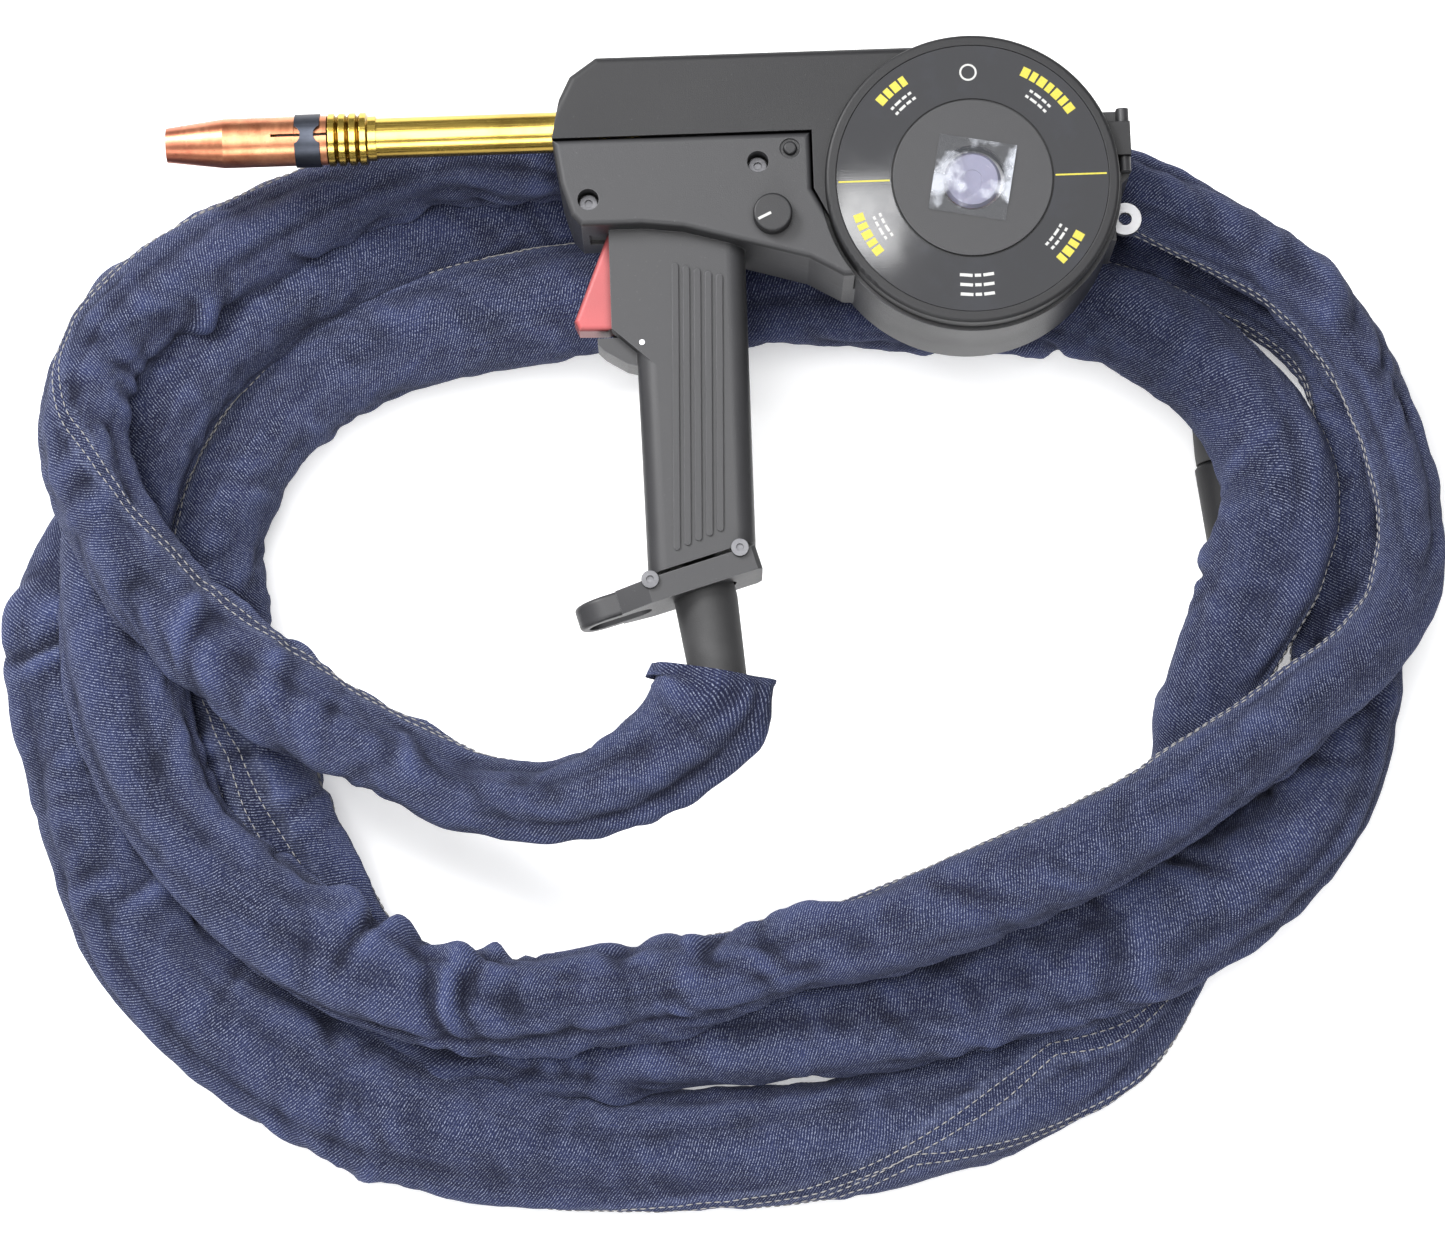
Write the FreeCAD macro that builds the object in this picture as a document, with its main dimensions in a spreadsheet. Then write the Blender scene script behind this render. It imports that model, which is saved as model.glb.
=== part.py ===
import FreeCAD, Part
import math
import os

import Sketcher
from FreeCAD import Placement, Rotation, Vector

# A spool-gun MIG welding torch that lies on its own coiled lead, with the lead in a denim jacket.
#
# Frame, in millimetres: the origin is the centre of the gas nozzle's mouth. +X runs along the neck, away from
# the mouth. +Y lies in the gun's flat plane and points away from the grip. +Z stands up from the surface
# under the coil. The two housing shells meet on z = 0, and the spool turns about a line parallel to Z.

X = Vector(1, 0, 0)
Y = Vector(0, 1, 0)
Z = Vector(0, 0, 1)

DIMENSIONS = {
    # neck and nozzle, along X
    "nozzle_length": 67.0,
    "nozzle_taper": 24.0,
    "nozzle_tip_radius": 7.2,
    "nozzle_radius": 10.3,
    "nozzle_bore": 5.8,
    "adapter_length": 17.5,
    "adapter_radius": 11.0,
    "neck_radius": 8.5,
    "neck_bore": 5.5,
    "neck_front": 84.6,
    "neck_rear": 190.0,
    # housing
    "wall": 2.5,
    "body_half": 26.0,
    "grip_half": 17.0,
    "body_front": 161.0,
    "body_top": 24.7,
    "seam_height": -9.4,
    # spool drum
    "drum_across": 333.0,
    "drum_height": -33.0,
    "drum_radius": 62.0,
    "drum_wall": 3.5,
    "drum_back": -30.0,
    "ring_radius": 60.5,
    "ring_face": 30.0,
    "disc_radius": 55.8,
    "disc_inner": 33.5,
    "sight_radius": 13.4,
    "window_side": 32.0,
    "spool_radius": 50.0,
    "spool_bore": 8.28,
    "axle_radius": 8.2,
    # wire feed
    "wire_radius": 0.45,
    "roll_across": 222.0,
    "drive_radius": 12.0,
    "pressure_radius": 9.0,
    # controls
    "knob_radius": 8.0,
    "button_radius": 2.7,
    "trigger_half": 7.9,
    "pin_fit": 0.05,
    # grip plate and boot
    "plate_thickness": 10.0,
    "plate_half": 18.0,
    "boot_radius": 13.0,
    # lead and jacket
    "lead_radius": 7.0,
    "jacket_half_width": 18.0,
    "jacket_half_height": 11.0,
    "connector_radius": 13.0,
}

doc = FreeCAD.newDocument("spool_gun")
sheet = doc.addObject("Spreadsheet::Sheet", "dims")
for row, (alias, value) in enumerate(DIMENSIONS.items(), start=1):
    sheet.set(f"A{row}", alias)
    sheet.set(f"B{row}", str(value))
    sheet.setAlias(f"B{row}", alias)
doc.recompute()

nodes = []


def dim(alias):
    """The value of one driving dimension, read back from the sheet."""
    return float(sheet.get(alias))


def bind(obj, prop, size):
    """Set a size to a number, or tie it to the sheet when it is an expression such as 'wall * 2'."""
    if isinstance(size, str):
        words = size.split()
        tied = " ".join(f"dims.{word}" if word in DIMENSIONS else word for word in words)
        obj.setExpression(prop, tied)
    else:
        setattr(obj, prop, size)


def value_of(size):
    """The number behind a size, whether it is a number or an expression of sheet names."""
    if not isinstance(size, str):
        return float(size)
    total = 0.0
    sign = 1.0
    for word in size.split():
        if word in "+-":
            sign = 1.0 if word == "+" else -1.0
        else:
            total += sign * (dim(word) if word in DIMENSIONS else float(word))
    return total


# ---------------------------------------------------------------- PartDesign helpers


def new_body(label):
    body = doc.addObject("PartDesign::Body", label)
    body.Label = label
    nodes.append(body)
    return body


def new_sketch(body, plane="XY_Plane", offset=0.0):
    """A sketch on one of the body's own origin planes, moved along the plane's normal by offset."""
    sketch = body.newObject("Sketcher::SketchObject", f"{body.Name}_sketch")
    support = next(f for f in body.Origin.OriginFeatures if f.Role == plane)
    sketch.AttachmentSupport = [(support, "")]
    sketch.MapMode = "FlatFace"
    sketch.AttachmentOffset = Placement(Vector(0, 0, value_of(offset)), Rotation())
    if isinstance(offset, str):
        bind_path(sketch, "AttachmentOffset.Base.z", offset)
    return sketch


def bind_path(obj, path, size):
    words = size.split()
    obj.setExpression(path, " ".join(f"dims.{word}" if word in DIMENSIONS else word for word in words))


def lock(sketch, geometry, end, point):
    """Fix one sketch point at (x, y). A coordinate given as an expression stays tied to the sheet."""
    for kind, size, axis in (("DistanceX", point[0], -2), ("DistanceY", point[1], -1)):
        number = value_of(size)
        if abs(number) < 1e-9:
            sketch.addConstraint(Sketcher.Constraint("PointOnObject", geometry, end, axis))
            continue
        index = sketch.addConstraint(Sketcher.Constraint(kind, -1, 1, geometry, end, number))
        if isinstance(size, str):
            bind_path(sketch, f"Constraints[{index}]", size)


def polygon(sketch, points):
    """A closed outline of straight lines, each corner locked in place."""
    flat = [Vector(value_of(x), value_of(y), 0) for x, y in points]
    first = sketch.GeometryCount
    for i, start in enumerate(flat):
        sketch.addGeometry(Part.LineSegment(start, flat[(i + 1) % len(flat)]), False)
    for i in range(len(flat)):
        following = first + (i + 1) % len(flat)
        sketch.addConstraint(Sketcher.Constraint("Coincident", first + i, 2, following, 1))
        lock(sketch, first + i, 1, points[i])


def circle(sketch, centre, radius):
    flat = Vector(value_of(centre[0]), value_of(centre[1]), 0)
    index = sketch.addGeometry(Part.Circle(flat, Z, value_of(radius)), False)
    lock(sketch, index, 3, centre)
    size = sketch.addConstraint(Sketcher.Constraint("Radius", index, value_of(radius)))
    if isinstance(radius, str):
        bind_path(sketch, f"Constraints[{size}]", radius)


def pill(sketch, start, end, radius):
    """A slot outline: two half circles about start and end, joined by straight sides."""
    a = Vector(*start, 0)
    b = Vector(*end, 0)
    along = (b - a).normalize()
    side = Vector(-along.y, along.x, 0) * radius
    sketch.addGeometry(Part.Arc(a + side, a - along * radius, a - side), False)
    sketch.addGeometry(Part.LineSegment(a - side, b - side), False)
    sketch.addGeometry(Part.Arc(b - side, b + along * radius, b + side), False)
    sketch.addGeometry(Part.LineSegment(b + side, a + side), False)


def pad(body, sketch, length):
    """Add material from the sketch along its normal."""
    feature = body.newObject("PartDesign::Pad", f"{body.Name}_pad")
    feature.Profile = sketch
    bind(feature, "Length", length)
    doc.recompute()
    return feature


def pocket(body, sketch, length):
    """Remove material from the sketch along its normal."""
    before = body.Shape.Volume
    feature = body.newObject("PartDesign::Pocket", f"{body.Name}_pocket")
    feature.Profile = sketch
    feature.Reversed = True
    bind(feature, "Length", length)
    doc.recompute()
    if not body.Shape.Volume < before - 1e-6:
        raise RuntimeError(f"a pocket of {body.Label} cuts nothing")
    return feature


def prism(body, points, low, length, plane="XY_Plane"):
    sketch = new_sketch(body, plane, low)
    polygon(sketch, points)
    pad(body, sketch, length)


def disc(body, centre, radius, low, length, plane="XY_Plane"):
    sketch = new_sketch(body, plane, low)
    circle(sketch, centre, radius)
    pad(body, sketch, length)


def cut_prism(body, points, low, length, plane="XY_Plane"):
    sketch = new_sketch(body, plane, low)
    polygon(sketch, points)
    pocket(body, sketch, length)


def cut_disc(body, centre, radius, low, length, plane="XY_Plane"):
    sketch = new_sketch(body, plane, low)
    circle(sketch, centre, radius)
    pocket(body, sketch, length)


def turn(body, profile):
    """Revolve a profile of (along, radius) points about the body's X axis."""
    sketch = new_sketch(body)
    polygon(sketch, profile)
    feature = body.newObject("PartDesign::Revolution", f"{body.Name}_turned")
    feature.Profile = sketch
    feature.ReferenceAxis = (sketch, ["H_Axis"])
    feature.Angle = 360.0
    doc.recompute()


def round_edges(body, radius, wanted):
    """Fillet every edge of the body whose middle point satisfies wanted."""
    names = []
    for number, edge in enumerate(body.Shape.Edges, start=1):
        middle = edge.valueAt((edge.FirstParameter + edge.LastParameter) / 2)
        if wanted(middle):
            names.append(f"Edge{number}")
    base = body.Tip
    feature = body.newObject("PartDesign::Fillet", f"{body.Name}_round")
    feature.Base = (base, names)
    feature.Radius = radius
    doc.recompute()
    if not names or not feature.isValid():
        raise RuntimeError(f"the rounding of {body.Label} failed on {names}")


def stand_up(body, at):
    """Turn a body made about X so that its X axis points along +Z, with its origin at the given point."""
    body.Placement = Placement(at, Rotation(X, Z))


def turned(label, profile, at=None):
    """A piece revolved about X, or about Z through the point at."""
    body = new_body(label)
    turn(body, profile)
    if at is not None:
        stand_up(body, at)
    return body


# ---------------------------------------------------------------- Part helpers


def rod(name, radius, length, base, direction):
    cylinder = doc.addObject("Part::Cylinder", name)
    bind(cylinder, "Radius", radius)
    bind(cylinder, "Height", length)
    cylinder.Placement = Placement(base, Rotation(Z, direction))
    return cylinder


def box(name, low, size):
    block = doc.addObject("Part::Box", name)
    block.Placement = Placement(Vector(*low), Rotation())
    bind(block, "Length", size[0])
    bind(block, "Width", size[1])
    bind(block, "Height", size[2])
    return block


def fuse(name, pieces):
    joined = doc.addObject("Part::MultiFuse", name)
    joined.Shapes = pieces
    return joined


def cut(name, base, tool):
    result = doc.addObject("Part::Cut", name)
    result.Base = base
    result.Tool = tool
    return result


def keep(obj, label):
    """Name a finished piece and list it as a node."""
    obj.Label = label
    nodes.append(obj)
    return obj


def group(label, pieces):
    """Identical separate pieces that share one node."""
    together = doc.addObject("Part::Compound", label)
    together.Links = pieces
    return keep(together, label)


def shaped(label, shape):
    """A piece whose shape comes from Part's own functions."""
    piece = doc.addObject("Part::Feature", label)
    piece.Shape = shape
    return keep(piece, label)


def spline(points):
    curve = Part.BSplineCurve()
    curve.interpolate([Vector(*p) for p in points])
    return curve.toShape()


def sweep_round(path, radius):
    """A round rod that follows a path edge."""
    start = path.valueAt(path.FirstParameter)
    along = path.tangentAt(path.FirstParameter)
    section = Part.Wire(Part.Circle(start, along, radius).toShape())
    shell = Part.BRepOffsetAPI.MakePipeShell(Part.Wire(path))
    shell.setFrenetMode(True)
    shell.add(section)
    shell.build()
    shell.makeSolid()
    return shell.shape()


def ring_wire(middle, across, over, profile):
    """A closed outline of straight lines about a point, from (across, over) pairs."""
    corners = [middle + across * wide + over * high for wide, high in profile]
    return Part.makePolygon(corners + corners[:1])


def eight_sided(half_width, half_height):
    """The corners of a flattened octagon."""
    quarter = [(half_width, 0.42 * half_height), (0.6 * half_width, half_height)]
    top = quarter + [(-wide, high) for wide, high in reversed(quarter)]
    return top + [(-wide, -high) for wide, high in top]


def faceted_tube(path, steps, half_width, half_height):
    """A soft tube in flat facets that lies level along a path, filled from end to end."""
    profile = eight_sided(half_width, half_height)
    span = path.LastParameter - path.FirstParameter
    rings = []
    for i in range(steps + 1):
        place = path.FirstParameter + span * i / steps
        along = path.tangentAt(place)
        across = Z.cross(along).normalize()
        rings.append(ring_wire(path.valueAt(place), across, along.cross(across), profile))
    return Part.makeLoft(rings, True, True)


def coil_spring(radius, wire, pitch, height, base, direction):
    """A helical spring of six-sided wire that starts at base and runs along direction."""
    sixths = [math.tau * k / 6 for k in range(6)]
    profile = [(wire * math.cos(angle), wire * math.sin(angle)) for angle in sixths]
    steps = round(14 * height / pitch)
    rings = []
    for i in range(steps + 1):
        climb = height * i / steps
        turned_by = math.tau * climb / pitch
        out = Vector(math.cos(turned_by), math.sin(turned_by), 0)
        along = Vector(-out.y * radius, out.x * radius, pitch / math.tau).normalize()
        rings.append(ring_wire(out * radius + Z * climb, out, along.cross(out), profile))
    solid = Part.makeLoft(rings, True, True)
    solid.Placement = Placement(base, Rotation(Z, direction))
    return solid


# ---------------------------------------------------------------- nozzle and neck


def make_gas_nozzle():
    """Copper nozzle: tapered mouth, straight barrel, and a rear skirt slit so that it grips the insulator."""
    body = new_body("gas_nozzle")
    skirt = 8.75
    turn(
        body,
        [
            (0, "nozzle_bore"),
            (0, "nozzle_tip_radius"),
            ("nozzle_taper", "nozzle_radius"),
            ("nozzle_length", "nozzle_radius"),
            ("nozzle_length", skirt),
            (43, skirt),
            (36, "nozzle_bore + 1.6"),
            (10, "nozzle_bore + 1.6"),
            (6, "nozzle_bore"),
        ],
    )
    slit = new_sketch(body, "XY_Plane", -12)
    polygon(slit, [(44, -0.6), ("nozzle_length + 1", -0.6), ("nozzle_length + 1", 0.6), (44, 0.6)])
    pocket(body, slit, 24)
    band_seat = [(53.6, 9.9), (53.6, 12), (64.4, 12), (64.4, 9.9)]
    groove = new_sketch(body)
    polygon(groove, band_seat)
    feature = body.newObject("PartDesign::Groove", "gas_nozzle_band_seat")
    feature.Profile = groove
    feature.ReferenceAxis = (groove, ["H_Axis"])
    feature.Angle = 360.0
    doc.recompute()


def make_nozzle_clamp_band():
    """Spring steel band round the slit skirt, narrow in its middle, open on the far side."""
    outer = rod("band_outer", 11.1, 10.4, Vector(53.8, 0, 0), X)
    inner = rod("band_inner", 9.95, 12.4, Vector(52.8, 0, 0), X)
    gap = box("band_gap", (50, -2, -14), (20, 4, 10))
    waist_front = rod("band_waist_front", 4.0, 30, Vector(52.2, 0, 0), Z)
    waist_rear = rod("band_waist_rear", 4.0, 30, Vector(65.8, 0, 0), Z)
    away = fuse("band_away", [inner, gap, waist_front, waist_rear])
    keep(cut("band_cut", outer, away), "nozzle_clamp_band")


def make_nozzle_insulator():
    turned(
        "nozzle_insulator",
        [(46, 7.3), (46, 8.7), ("nozzle_length", 8.7), ("nozzle_length", 7.3)],
    )


def make_nozzle_adapter():
    """Brass adapter with four rounded ridges and a collar. Its spigot carries the insulator."""
    front = dim("nozzle_length")
    ridge_pitch = dim("adapter_length") / 4
    valley = 9.4
    profile = [(46, 5.55), (46, 7.25), (front, 7.25), (front, valley)]
    for ridge in range(4):
        start = front + ridge * ridge_pitch
        profile.append((start + 0.7, "adapter_radius"))
        profile.append((start + ridge_pitch - 1.2, "adapter_radius"))
        profile.append((start + ridge_pitch - 0.4, valley))
    collar_end = front + dim("adapter_length") + 3
    profile += [(collar_end, valley), (collar_end, 8.55), ("neck_front", 8.55), ("neck_front", 5.55)]
    turned("nozzle_adapter", profile)


def make_neck_tube():
    turned(
        "neck_tube",
        [
            ("neck_front", "neck_bore"),
            ("neck_front", "neck_radius"),
            ("neck_rear", "neck_radius"),
            ("neck_rear", "neck_bore"),
        ],
    )


def make_gas_diffuser():
    """Brass holder of the contact tip, with a ring of gas holes."""
    body = new_body("gas_diffuser")
    turn(body, [(27, 3.02), (27, 5.5), (84, 5.5), (84, 2.1), (38, 2.1), (38, 3.02)])
    for plane in ("XY_Plane", "XZ_Plane"):
        sketch = new_sketch(body, plane, -7)
        circle(sketch, (40.6, 0), 0.9)
        pocket(body, sketch, 14)


def make_contact_tip():
    turned(
        "contact_tip",
        [(7, 0.6), (7, 2.4), (9, 3.9), (26.9, 3.9), (26.9, 3.0), (37.5, 3.0), (37.5, 0.6)],
    )


def make_wire_liner():
    turned("wire_liner", [(38.2, 0.7), (38.2, 2.0), (207, 2.0), (207, 0.7)])


def make_current_block():
    """Brass block that holds the neck and takes the current from the power lead."""
    block = box("block_solid", (170, -10.8, -12), (27, 21.6, 24))
    bore = rod("block_bore", "neck_radius", 20, Vector(170, 0, 0), X)
    liner_bore = rod("block_liner_bore", 2.05, 10, Vector(189, 0, 0), X)
    keep(cut("block_cut", block, fuse("block_bores", [bore, liner_bore])), "current_block")


# ---------------------------------------------------------------- housing

NOSE = [(172, -46.5), (168, -42), (164, -29), ("body_front", "seam_height")]
COVER_FRONT = [(164.5, 8), (169, 17), (180, "body_top")]
BELLY = [(279, -71), (265, -63), (246, -57.5), (230, -53), (214, -48.5), (197, -46.5)]
GRIP = [(183, -42), (183, -88), (193, -97), (194.6, -191), (239, -178.3), (239, -48), (225, -42)]
GRIP_INSIDE = [(198, -52), (198, -97), (197.5, -186), (235.8, -176), (235.8, -56), (225, -56)]
TRIGGER_SLOT = [(175, -90.2), (175, -45), (202, -45), (202, -90.2)]
GUARD = [(177, -90.5), (195, -90.5), (195, -103), (189, -101.5), (180, -96), (177, -93)]
GUARD_HALF = 9.5
NOSE_SCREW = (175.2, -35.6)
BODY_SCREW = (245.4, -22.1)
BUTTON = (258.8, -17.0)
KNOB = (250.6, -45.0)
HINGE = (396.5, 19.5)
KNUCKLES = [(-30.0, -24.0), (-9.5, -3.5)]
ARM = (-23.8, -9.7)
HINGE_BLOCK = [(372, -3.5), (398.5, -3.5), (398.5, -31), (392, -37.5), (392, -58), (372, -58)]
EYE = (397.4, -45.5)
EYE_SLOT = [(386.5, -53), (386.5, -38), (402, -38), (402, -53)]
RING_LOW = 20.3
DISC_SEAT = 29.2
SCREW_SEAT = 16.0
ARM_PIVOT = (203.0, 13.2)
TRIGGER_PIVOT = (187.0, -49.5)
SWITCH_PIN = (195.3, -94.3)
PIN_RADIUS = 1.5
LEAD_WAY = [(200, -60), (200, -40), (232, -40), (232, -60)]
FOOT_HOLE = (215.9, 0)
WIRE_WINDOW = [(262, -4), (262, 10), (300, 14), (300, -2)]
RIB_COUNT = 5
RIB_PITCH = 4.5
PLATE_CENTRE = Vector(203.5, -195.4, 0)
BOOT_TOP = Vector(217.0, -192.0, 0)
BOOT_END = Vector(222.0, -233.0, 0)
GRIP_SCREWS = [(195.4, -193.3), (232.4, -181.4)]


def inset(points, wall):
    """The corners of a polygon moved inwards by wall on every side."""
    flat = [Vector(value_of(x), value_of(y), 0) for x, y in points]
    area = sum(a.x * b.y - b.x * a.y for a, b in zip(flat, flat[1:] + flat[:1]))
    turn_sign = 1.0 if area > 0 else -1.0
    corners = []
    for before, here, after in zip(flat[-1:] + flat[:-1], flat, flat[1:] + flat[:1]):
        into = (here - before).normalize()
        out = (after - here).normalize()
        normal_in = Vector(-into.y, into.x, 0) * turn_sign
        normal_out = Vector(-out.y, out.x, 0) * turn_sign
        bisector = normal_in + normal_out
        reach = 2.0 * wall / bisector.dot(bisector)
        corners.append((here.x + bisector.x * reach, here.y + bisector.y * reach))
    return corners


def drum_centre():
    return ("drum_across", "drum_height")


def along_y(body, place, radius, high, low):
    """Add a round boss parallel to Y about the point place = (x, z), from y = high down to y = low."""
    disc(body, place, radius, -high, high - low, "XZ_Plane")


def bore_y(body, place, radius, high, low):
    cut_disc(body, place, radius, -high, high - low, "XZ_Plane")


def screw_posts(body, low, height):
    for place in (NOSE_SCREW, BODY_SCREW):
        disc(body, place, 6.0, low, height)


def make_housing_rear():
    """Back shell: back of the body and grip, the spool tub, the lid's hinge block and the seat of the eye."""
    body = new_body("housing_rear")
    grip_depth = dim("grip_half")
    depth = dim("body_half")
    wall = dim("wall")
    prism(body, GRIP, -grip_depth, "grip_half")
    round_edges(body, 8.0, lambda m: m.z < -grip_depth + 0.1 and -150 < m.y < -100)
    prism(body, GUARD, -GUARD_HALF, GUARD_HALF)
    outline = NOSE + COVER_FRONT + [(322, "body_top"), (322, -71)] + BELLY
    prism(body, outline, -depth, "body_half")
    round_edges(body, 3.0, lambda m: m.z < -depth + 0.1 and m.x < 300)
    cut_prism(body, inset(outline, wall), -depth + wall, 40)
    disc(body, drum_centre(), "drum_radius", "drum_back", 50)
    prism(body, HINGE_BLOCK, -depth, 42)
    tub_radius = dim("drum_radius") - dim("drum_wall")
    cut_disc(body, drum_centre(), tub_radius, dim("drum_back") + wall, 60)
    prism(body, [(384.5, -55), (390.5, -55), (391.5, -36), (384.5, -36)], -9, 18)
    for low, high in KNUCKLES:
        prism(body, [(393.9, low), (393.9, high), (399.1, high), (399.1, low)], 15, HINGE[1] - 15)
        along_y(body, HINGE, 2.6, high, low)
        bore_y(body, HINGE, 1.5, high + 0.1, low - 0.1)
    cut_prism(body, [(389, -24), (389, -9.5), (400, -9.5), (400, -24)], 13.5, 10)
    cut_prism(body, EYE_SLOT, -1.6, 3.2)
    cut_prism(body, GRIP_INSIDE, -grip_depth + wall, 40)
    cut_prism(body, LEAD_WAY, -grip_depth + wall, 40)
    bore_y(body, FOOT_HOLE, 7.8, -170, -196)
    cut_prism(body, TRIGGER_SLOT, -8.2, 8.3)
    cut_disc(body, TRIGGER_PIVOT, PIN_RADIUS, -12, 13)
    cut_disc(body, SWITCH_PIN, 1.2, -10, 11)
    cut_disc(body, (0, 0), "neck_radius + pin_fit", 158, 14, "YZ_Plane")
    cut_prism(body, WIRE_WINDOW, -4, 30)
    screw_posts(body, -depth + 1, depth - 1)
    for place in (NOSE_SCREW, BODY_SCREW):
        cut_disc(body, place, 1.75, -18.2, 19)


def make_housing_front():
    """Front shell: front of the lower body and of the grip, with ribs, control holes and screw wells."""
    body = new_body("housing_front")
    grip_depth = dim("grip_half")
    depth = dim("body_half")
    wall = dim("wall")
    prism(body, GRIP, 0, "grip_half")
    round_edges(body, 8.0, lambda m: m.z > grip_depth - 0.1 and -150 < m.y < -100)
    prism(body, GUARD, 0, GUARD_HALF)
    top = dim("seam_height") - 0.6
    outline = NOSE[:3] + [(161.1, top), (267.4, top), (267.4, -34), (276, -50), (300, -71)] + BELLY
    prism(body, outline, 0, "body_half")
    round_edges(body, 2.5, lambda m: m.z > depth - 0.1 and m.x < 290)
    inside = inset(NOSE[:3] + [(161.1, 20), (267.4, 20), (267.4, -40), (273, -60)] + BELLY[1:], wall)
    cut_prism(body, [(x, min(y, top + 5)) for x, y in inside], -1, depth - wall + 1)
    cut_disc(body, drum_centre(), 62.5, -1, 40)
    cut_prism(body, GRIP_INSIDE, -1, grip_depth - wall + 1)
    cut_prism(body, LEAD_WAY, -1, grip_depth - wall + 1)
    bore_y(body, FOOT_HOLE, 7.8, -170, -196)
    cut_prism(body, TRIGGER_SLOT, -0.1, 8.3)
    cut_disc(body, TRIGGER_PIVOT, PIN_RADIUS, -1, 13)
    cut_disc(body, SWITCH_PIN, 1.2, -1, 30)
    screw_posts(body, 0, depth - 1)
    for place in (NOSE_SCREW, BODY_SCREW):
        cut_disc(body, place, 1.75, -1, 30)
        cut_disc(body, place, 4.4, SCREW_SEAT, 20)
    cut_disc(body, BUTTON, 2.8, 20, 10)
    cut_disc(body, BUTTON, 4.2, depth - 0.8, 5)
    cut_disc(body, KNOB, 3.3, 20, 10)
    ribs = new_sketch(body, "XY_Plane", "grip_half - 0.3")
    for rib in range(RIB_COUNT):
        high = (209.9 + rib * RIB_PITCH, -63.0 - rib * 1.3)
        low = (206.8 + rib * RIB_PITCH, -180.0 + rib * 1.8)
        pill(ribs, high, low, 1.35)
    pad(body, ribs, 1.1)


def make_spool_door():
    """Lid in one moulding: a cover over the wire feed and a ring over the spool, hinged at the far side."""
    body = new_body("spool_door")
    depth = dim("body_half")
    wall = dim("wall")
    seam = dim("seam_height")
    cover = [("body_front", seam)] + COVER_FRONT
    cover += [(314, "body_top"), (322, -20), (300, -50), (276, -50), (268, -34), (268, seam)]
    prism(body, cover, 0.1, depth - 0.1)
    round_edges(body, 3.0, lambda m: m.z > depth - 0.1 and (m.y > 0 or m.x < 162) and m.x < 312)
    inside = [("body_front", seam)] + COVER_FRONT + [(330, "body_top"), (330, seam)]
    cut_prism(body, inset(inside, wall), 0, depth - wall)
    cut_prism(body, [(166, seam - 1), (262, seam - 1), (262, seam + wall + 1), (166, seam + wall + 1)], 0, 14)
    cut_disc(body, drum_centre(), 62.5, 0, RING_LOW)
    disc(body, drum_centre(), "ring_radius", RING_LOW, dim("ring_face") - RING_LOW)
    round_edges(body, 1.6, lambda m: m.z > dim("ring_face") - 0.1)
    cut_disc(body, drum_centre(), 56.6, 0, dim("ring_face") - wall)
    cut_disc(body, drum_centre(), "disc_radius + 0.3", DISC_SEAT, 5)
    cut_disc(body, drum_centre(), "sight_radius", 20, 15)
    arm_low, arm_high = ARM
    prism(body, [(386, arm_low), (386, arm_high), (399.1, arm_high), (399.1, arm_low)], RING_LOW, 3.7)
    along_y(body, HINGE, 2.6, arm_high, arm_low)
    bore_y(body, HINGE, 1.55, arm_high + 0.1, arm_low - 0.1)
    cut_disc(body, (0, 0), "neck_radius + pin_fit", 158, 14, "YZ_Plane")


def ring_plate(label, outer, inner, low, thickness):
    """A flat round plate about the spool's axis."""
    body = new_body(label)
    sketch = new_sketch(body, "XY_Plane", low)
    circle(sketch, drum_centre(), outer)
    circle(sketch, drum_centre(), inner)
    pad(body, sketch, thickness)


def make_door_fittings():
    """The printed disc, the raised centre disc and the clear square window on the lid."""
    ring_plate("door_disc", "disc_radius", "disc_inner", DISC_SEAT, 0.7)
    ring_plate("door_centre_disc", "disc_inner - 0.8", "sight_radius", DISC_SEAT, 1.3)
    window = box("window_plate", (0, 0, 0), ("window_side", "window_side", 0.8))
    half = dim("window_side") / 2
    turn_back = Rotation(Z, -11)
    corner = Vector(dim("drum_across"), dim("drum_height"), DISC_SEAT + 1.35)
    window.Placement = Placement(corner + turn_back.multVec(Vector(-half, -half, 0)), turn_back)
    keep(window, "spool_window")
    hinge_top = KNUCKLES[1][1]
    pin = rod("door_pin", 1.5, hinge_top - KNUCKLES[0][0], Vector(HINGE[0], KNUCKLES[0][0], HINGE[1]), Y)
    keep(pin, "door_hinge_pin")


# ---------------------------------------------------------------- spool


def on_axle(height):
    """A point on the spool's axis at the given height."""
    return Vector(dim("drum_across"), dim("drum_height"), height)


def make_spool_parts():
    floor = dim("drum_back") + dim("wall")
    turned(
        "wire_spool",
        [
            (2.8, "spool_bore"),
            (2.8, "spool_radius"),
            (5.2, "spool_radius"),
            (5.2, 20),
            (43.2, 20),
            (43.2, "spool_radius"),
            (45.6, "spool_radius"),
            (45.6, "spool_bore"),
        ],
        on_axle(floor),
    )
    turned("wound_wire", [(5.3, 20.05), (5.3, 43), (43.1, 43), (43.1, 20.05)], on_axle(floor))
    turned(
        "spool_axle",
        [(0, 0), (0, 14), (1.5, 14), (1.5, "axle_radius"), (46.4, "axle_radius"), (46.4, 4), (54.4, 4),
         (54.4, 0)],
        on_axle(floor),
    )
    turned("friction_washer", [(45.7, 8.6), (45.7, 14), (46.5, 14), (46.5, 8.6)], on_axle(floor))
    spring = coil_spring(7.0, 0.5, 1.3, 2.6, on_axle(floor + 47.2), Z)
    shaped("brake_spring", spring)
    turned("spool_nut", [(50.6, 4.05), (50.6, 11), (53.0, 11.8), (54.6, 10.5), (54.6, 4.05)], on_axle(floor))


# ---------------------------------------------------------------- wire feed


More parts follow.
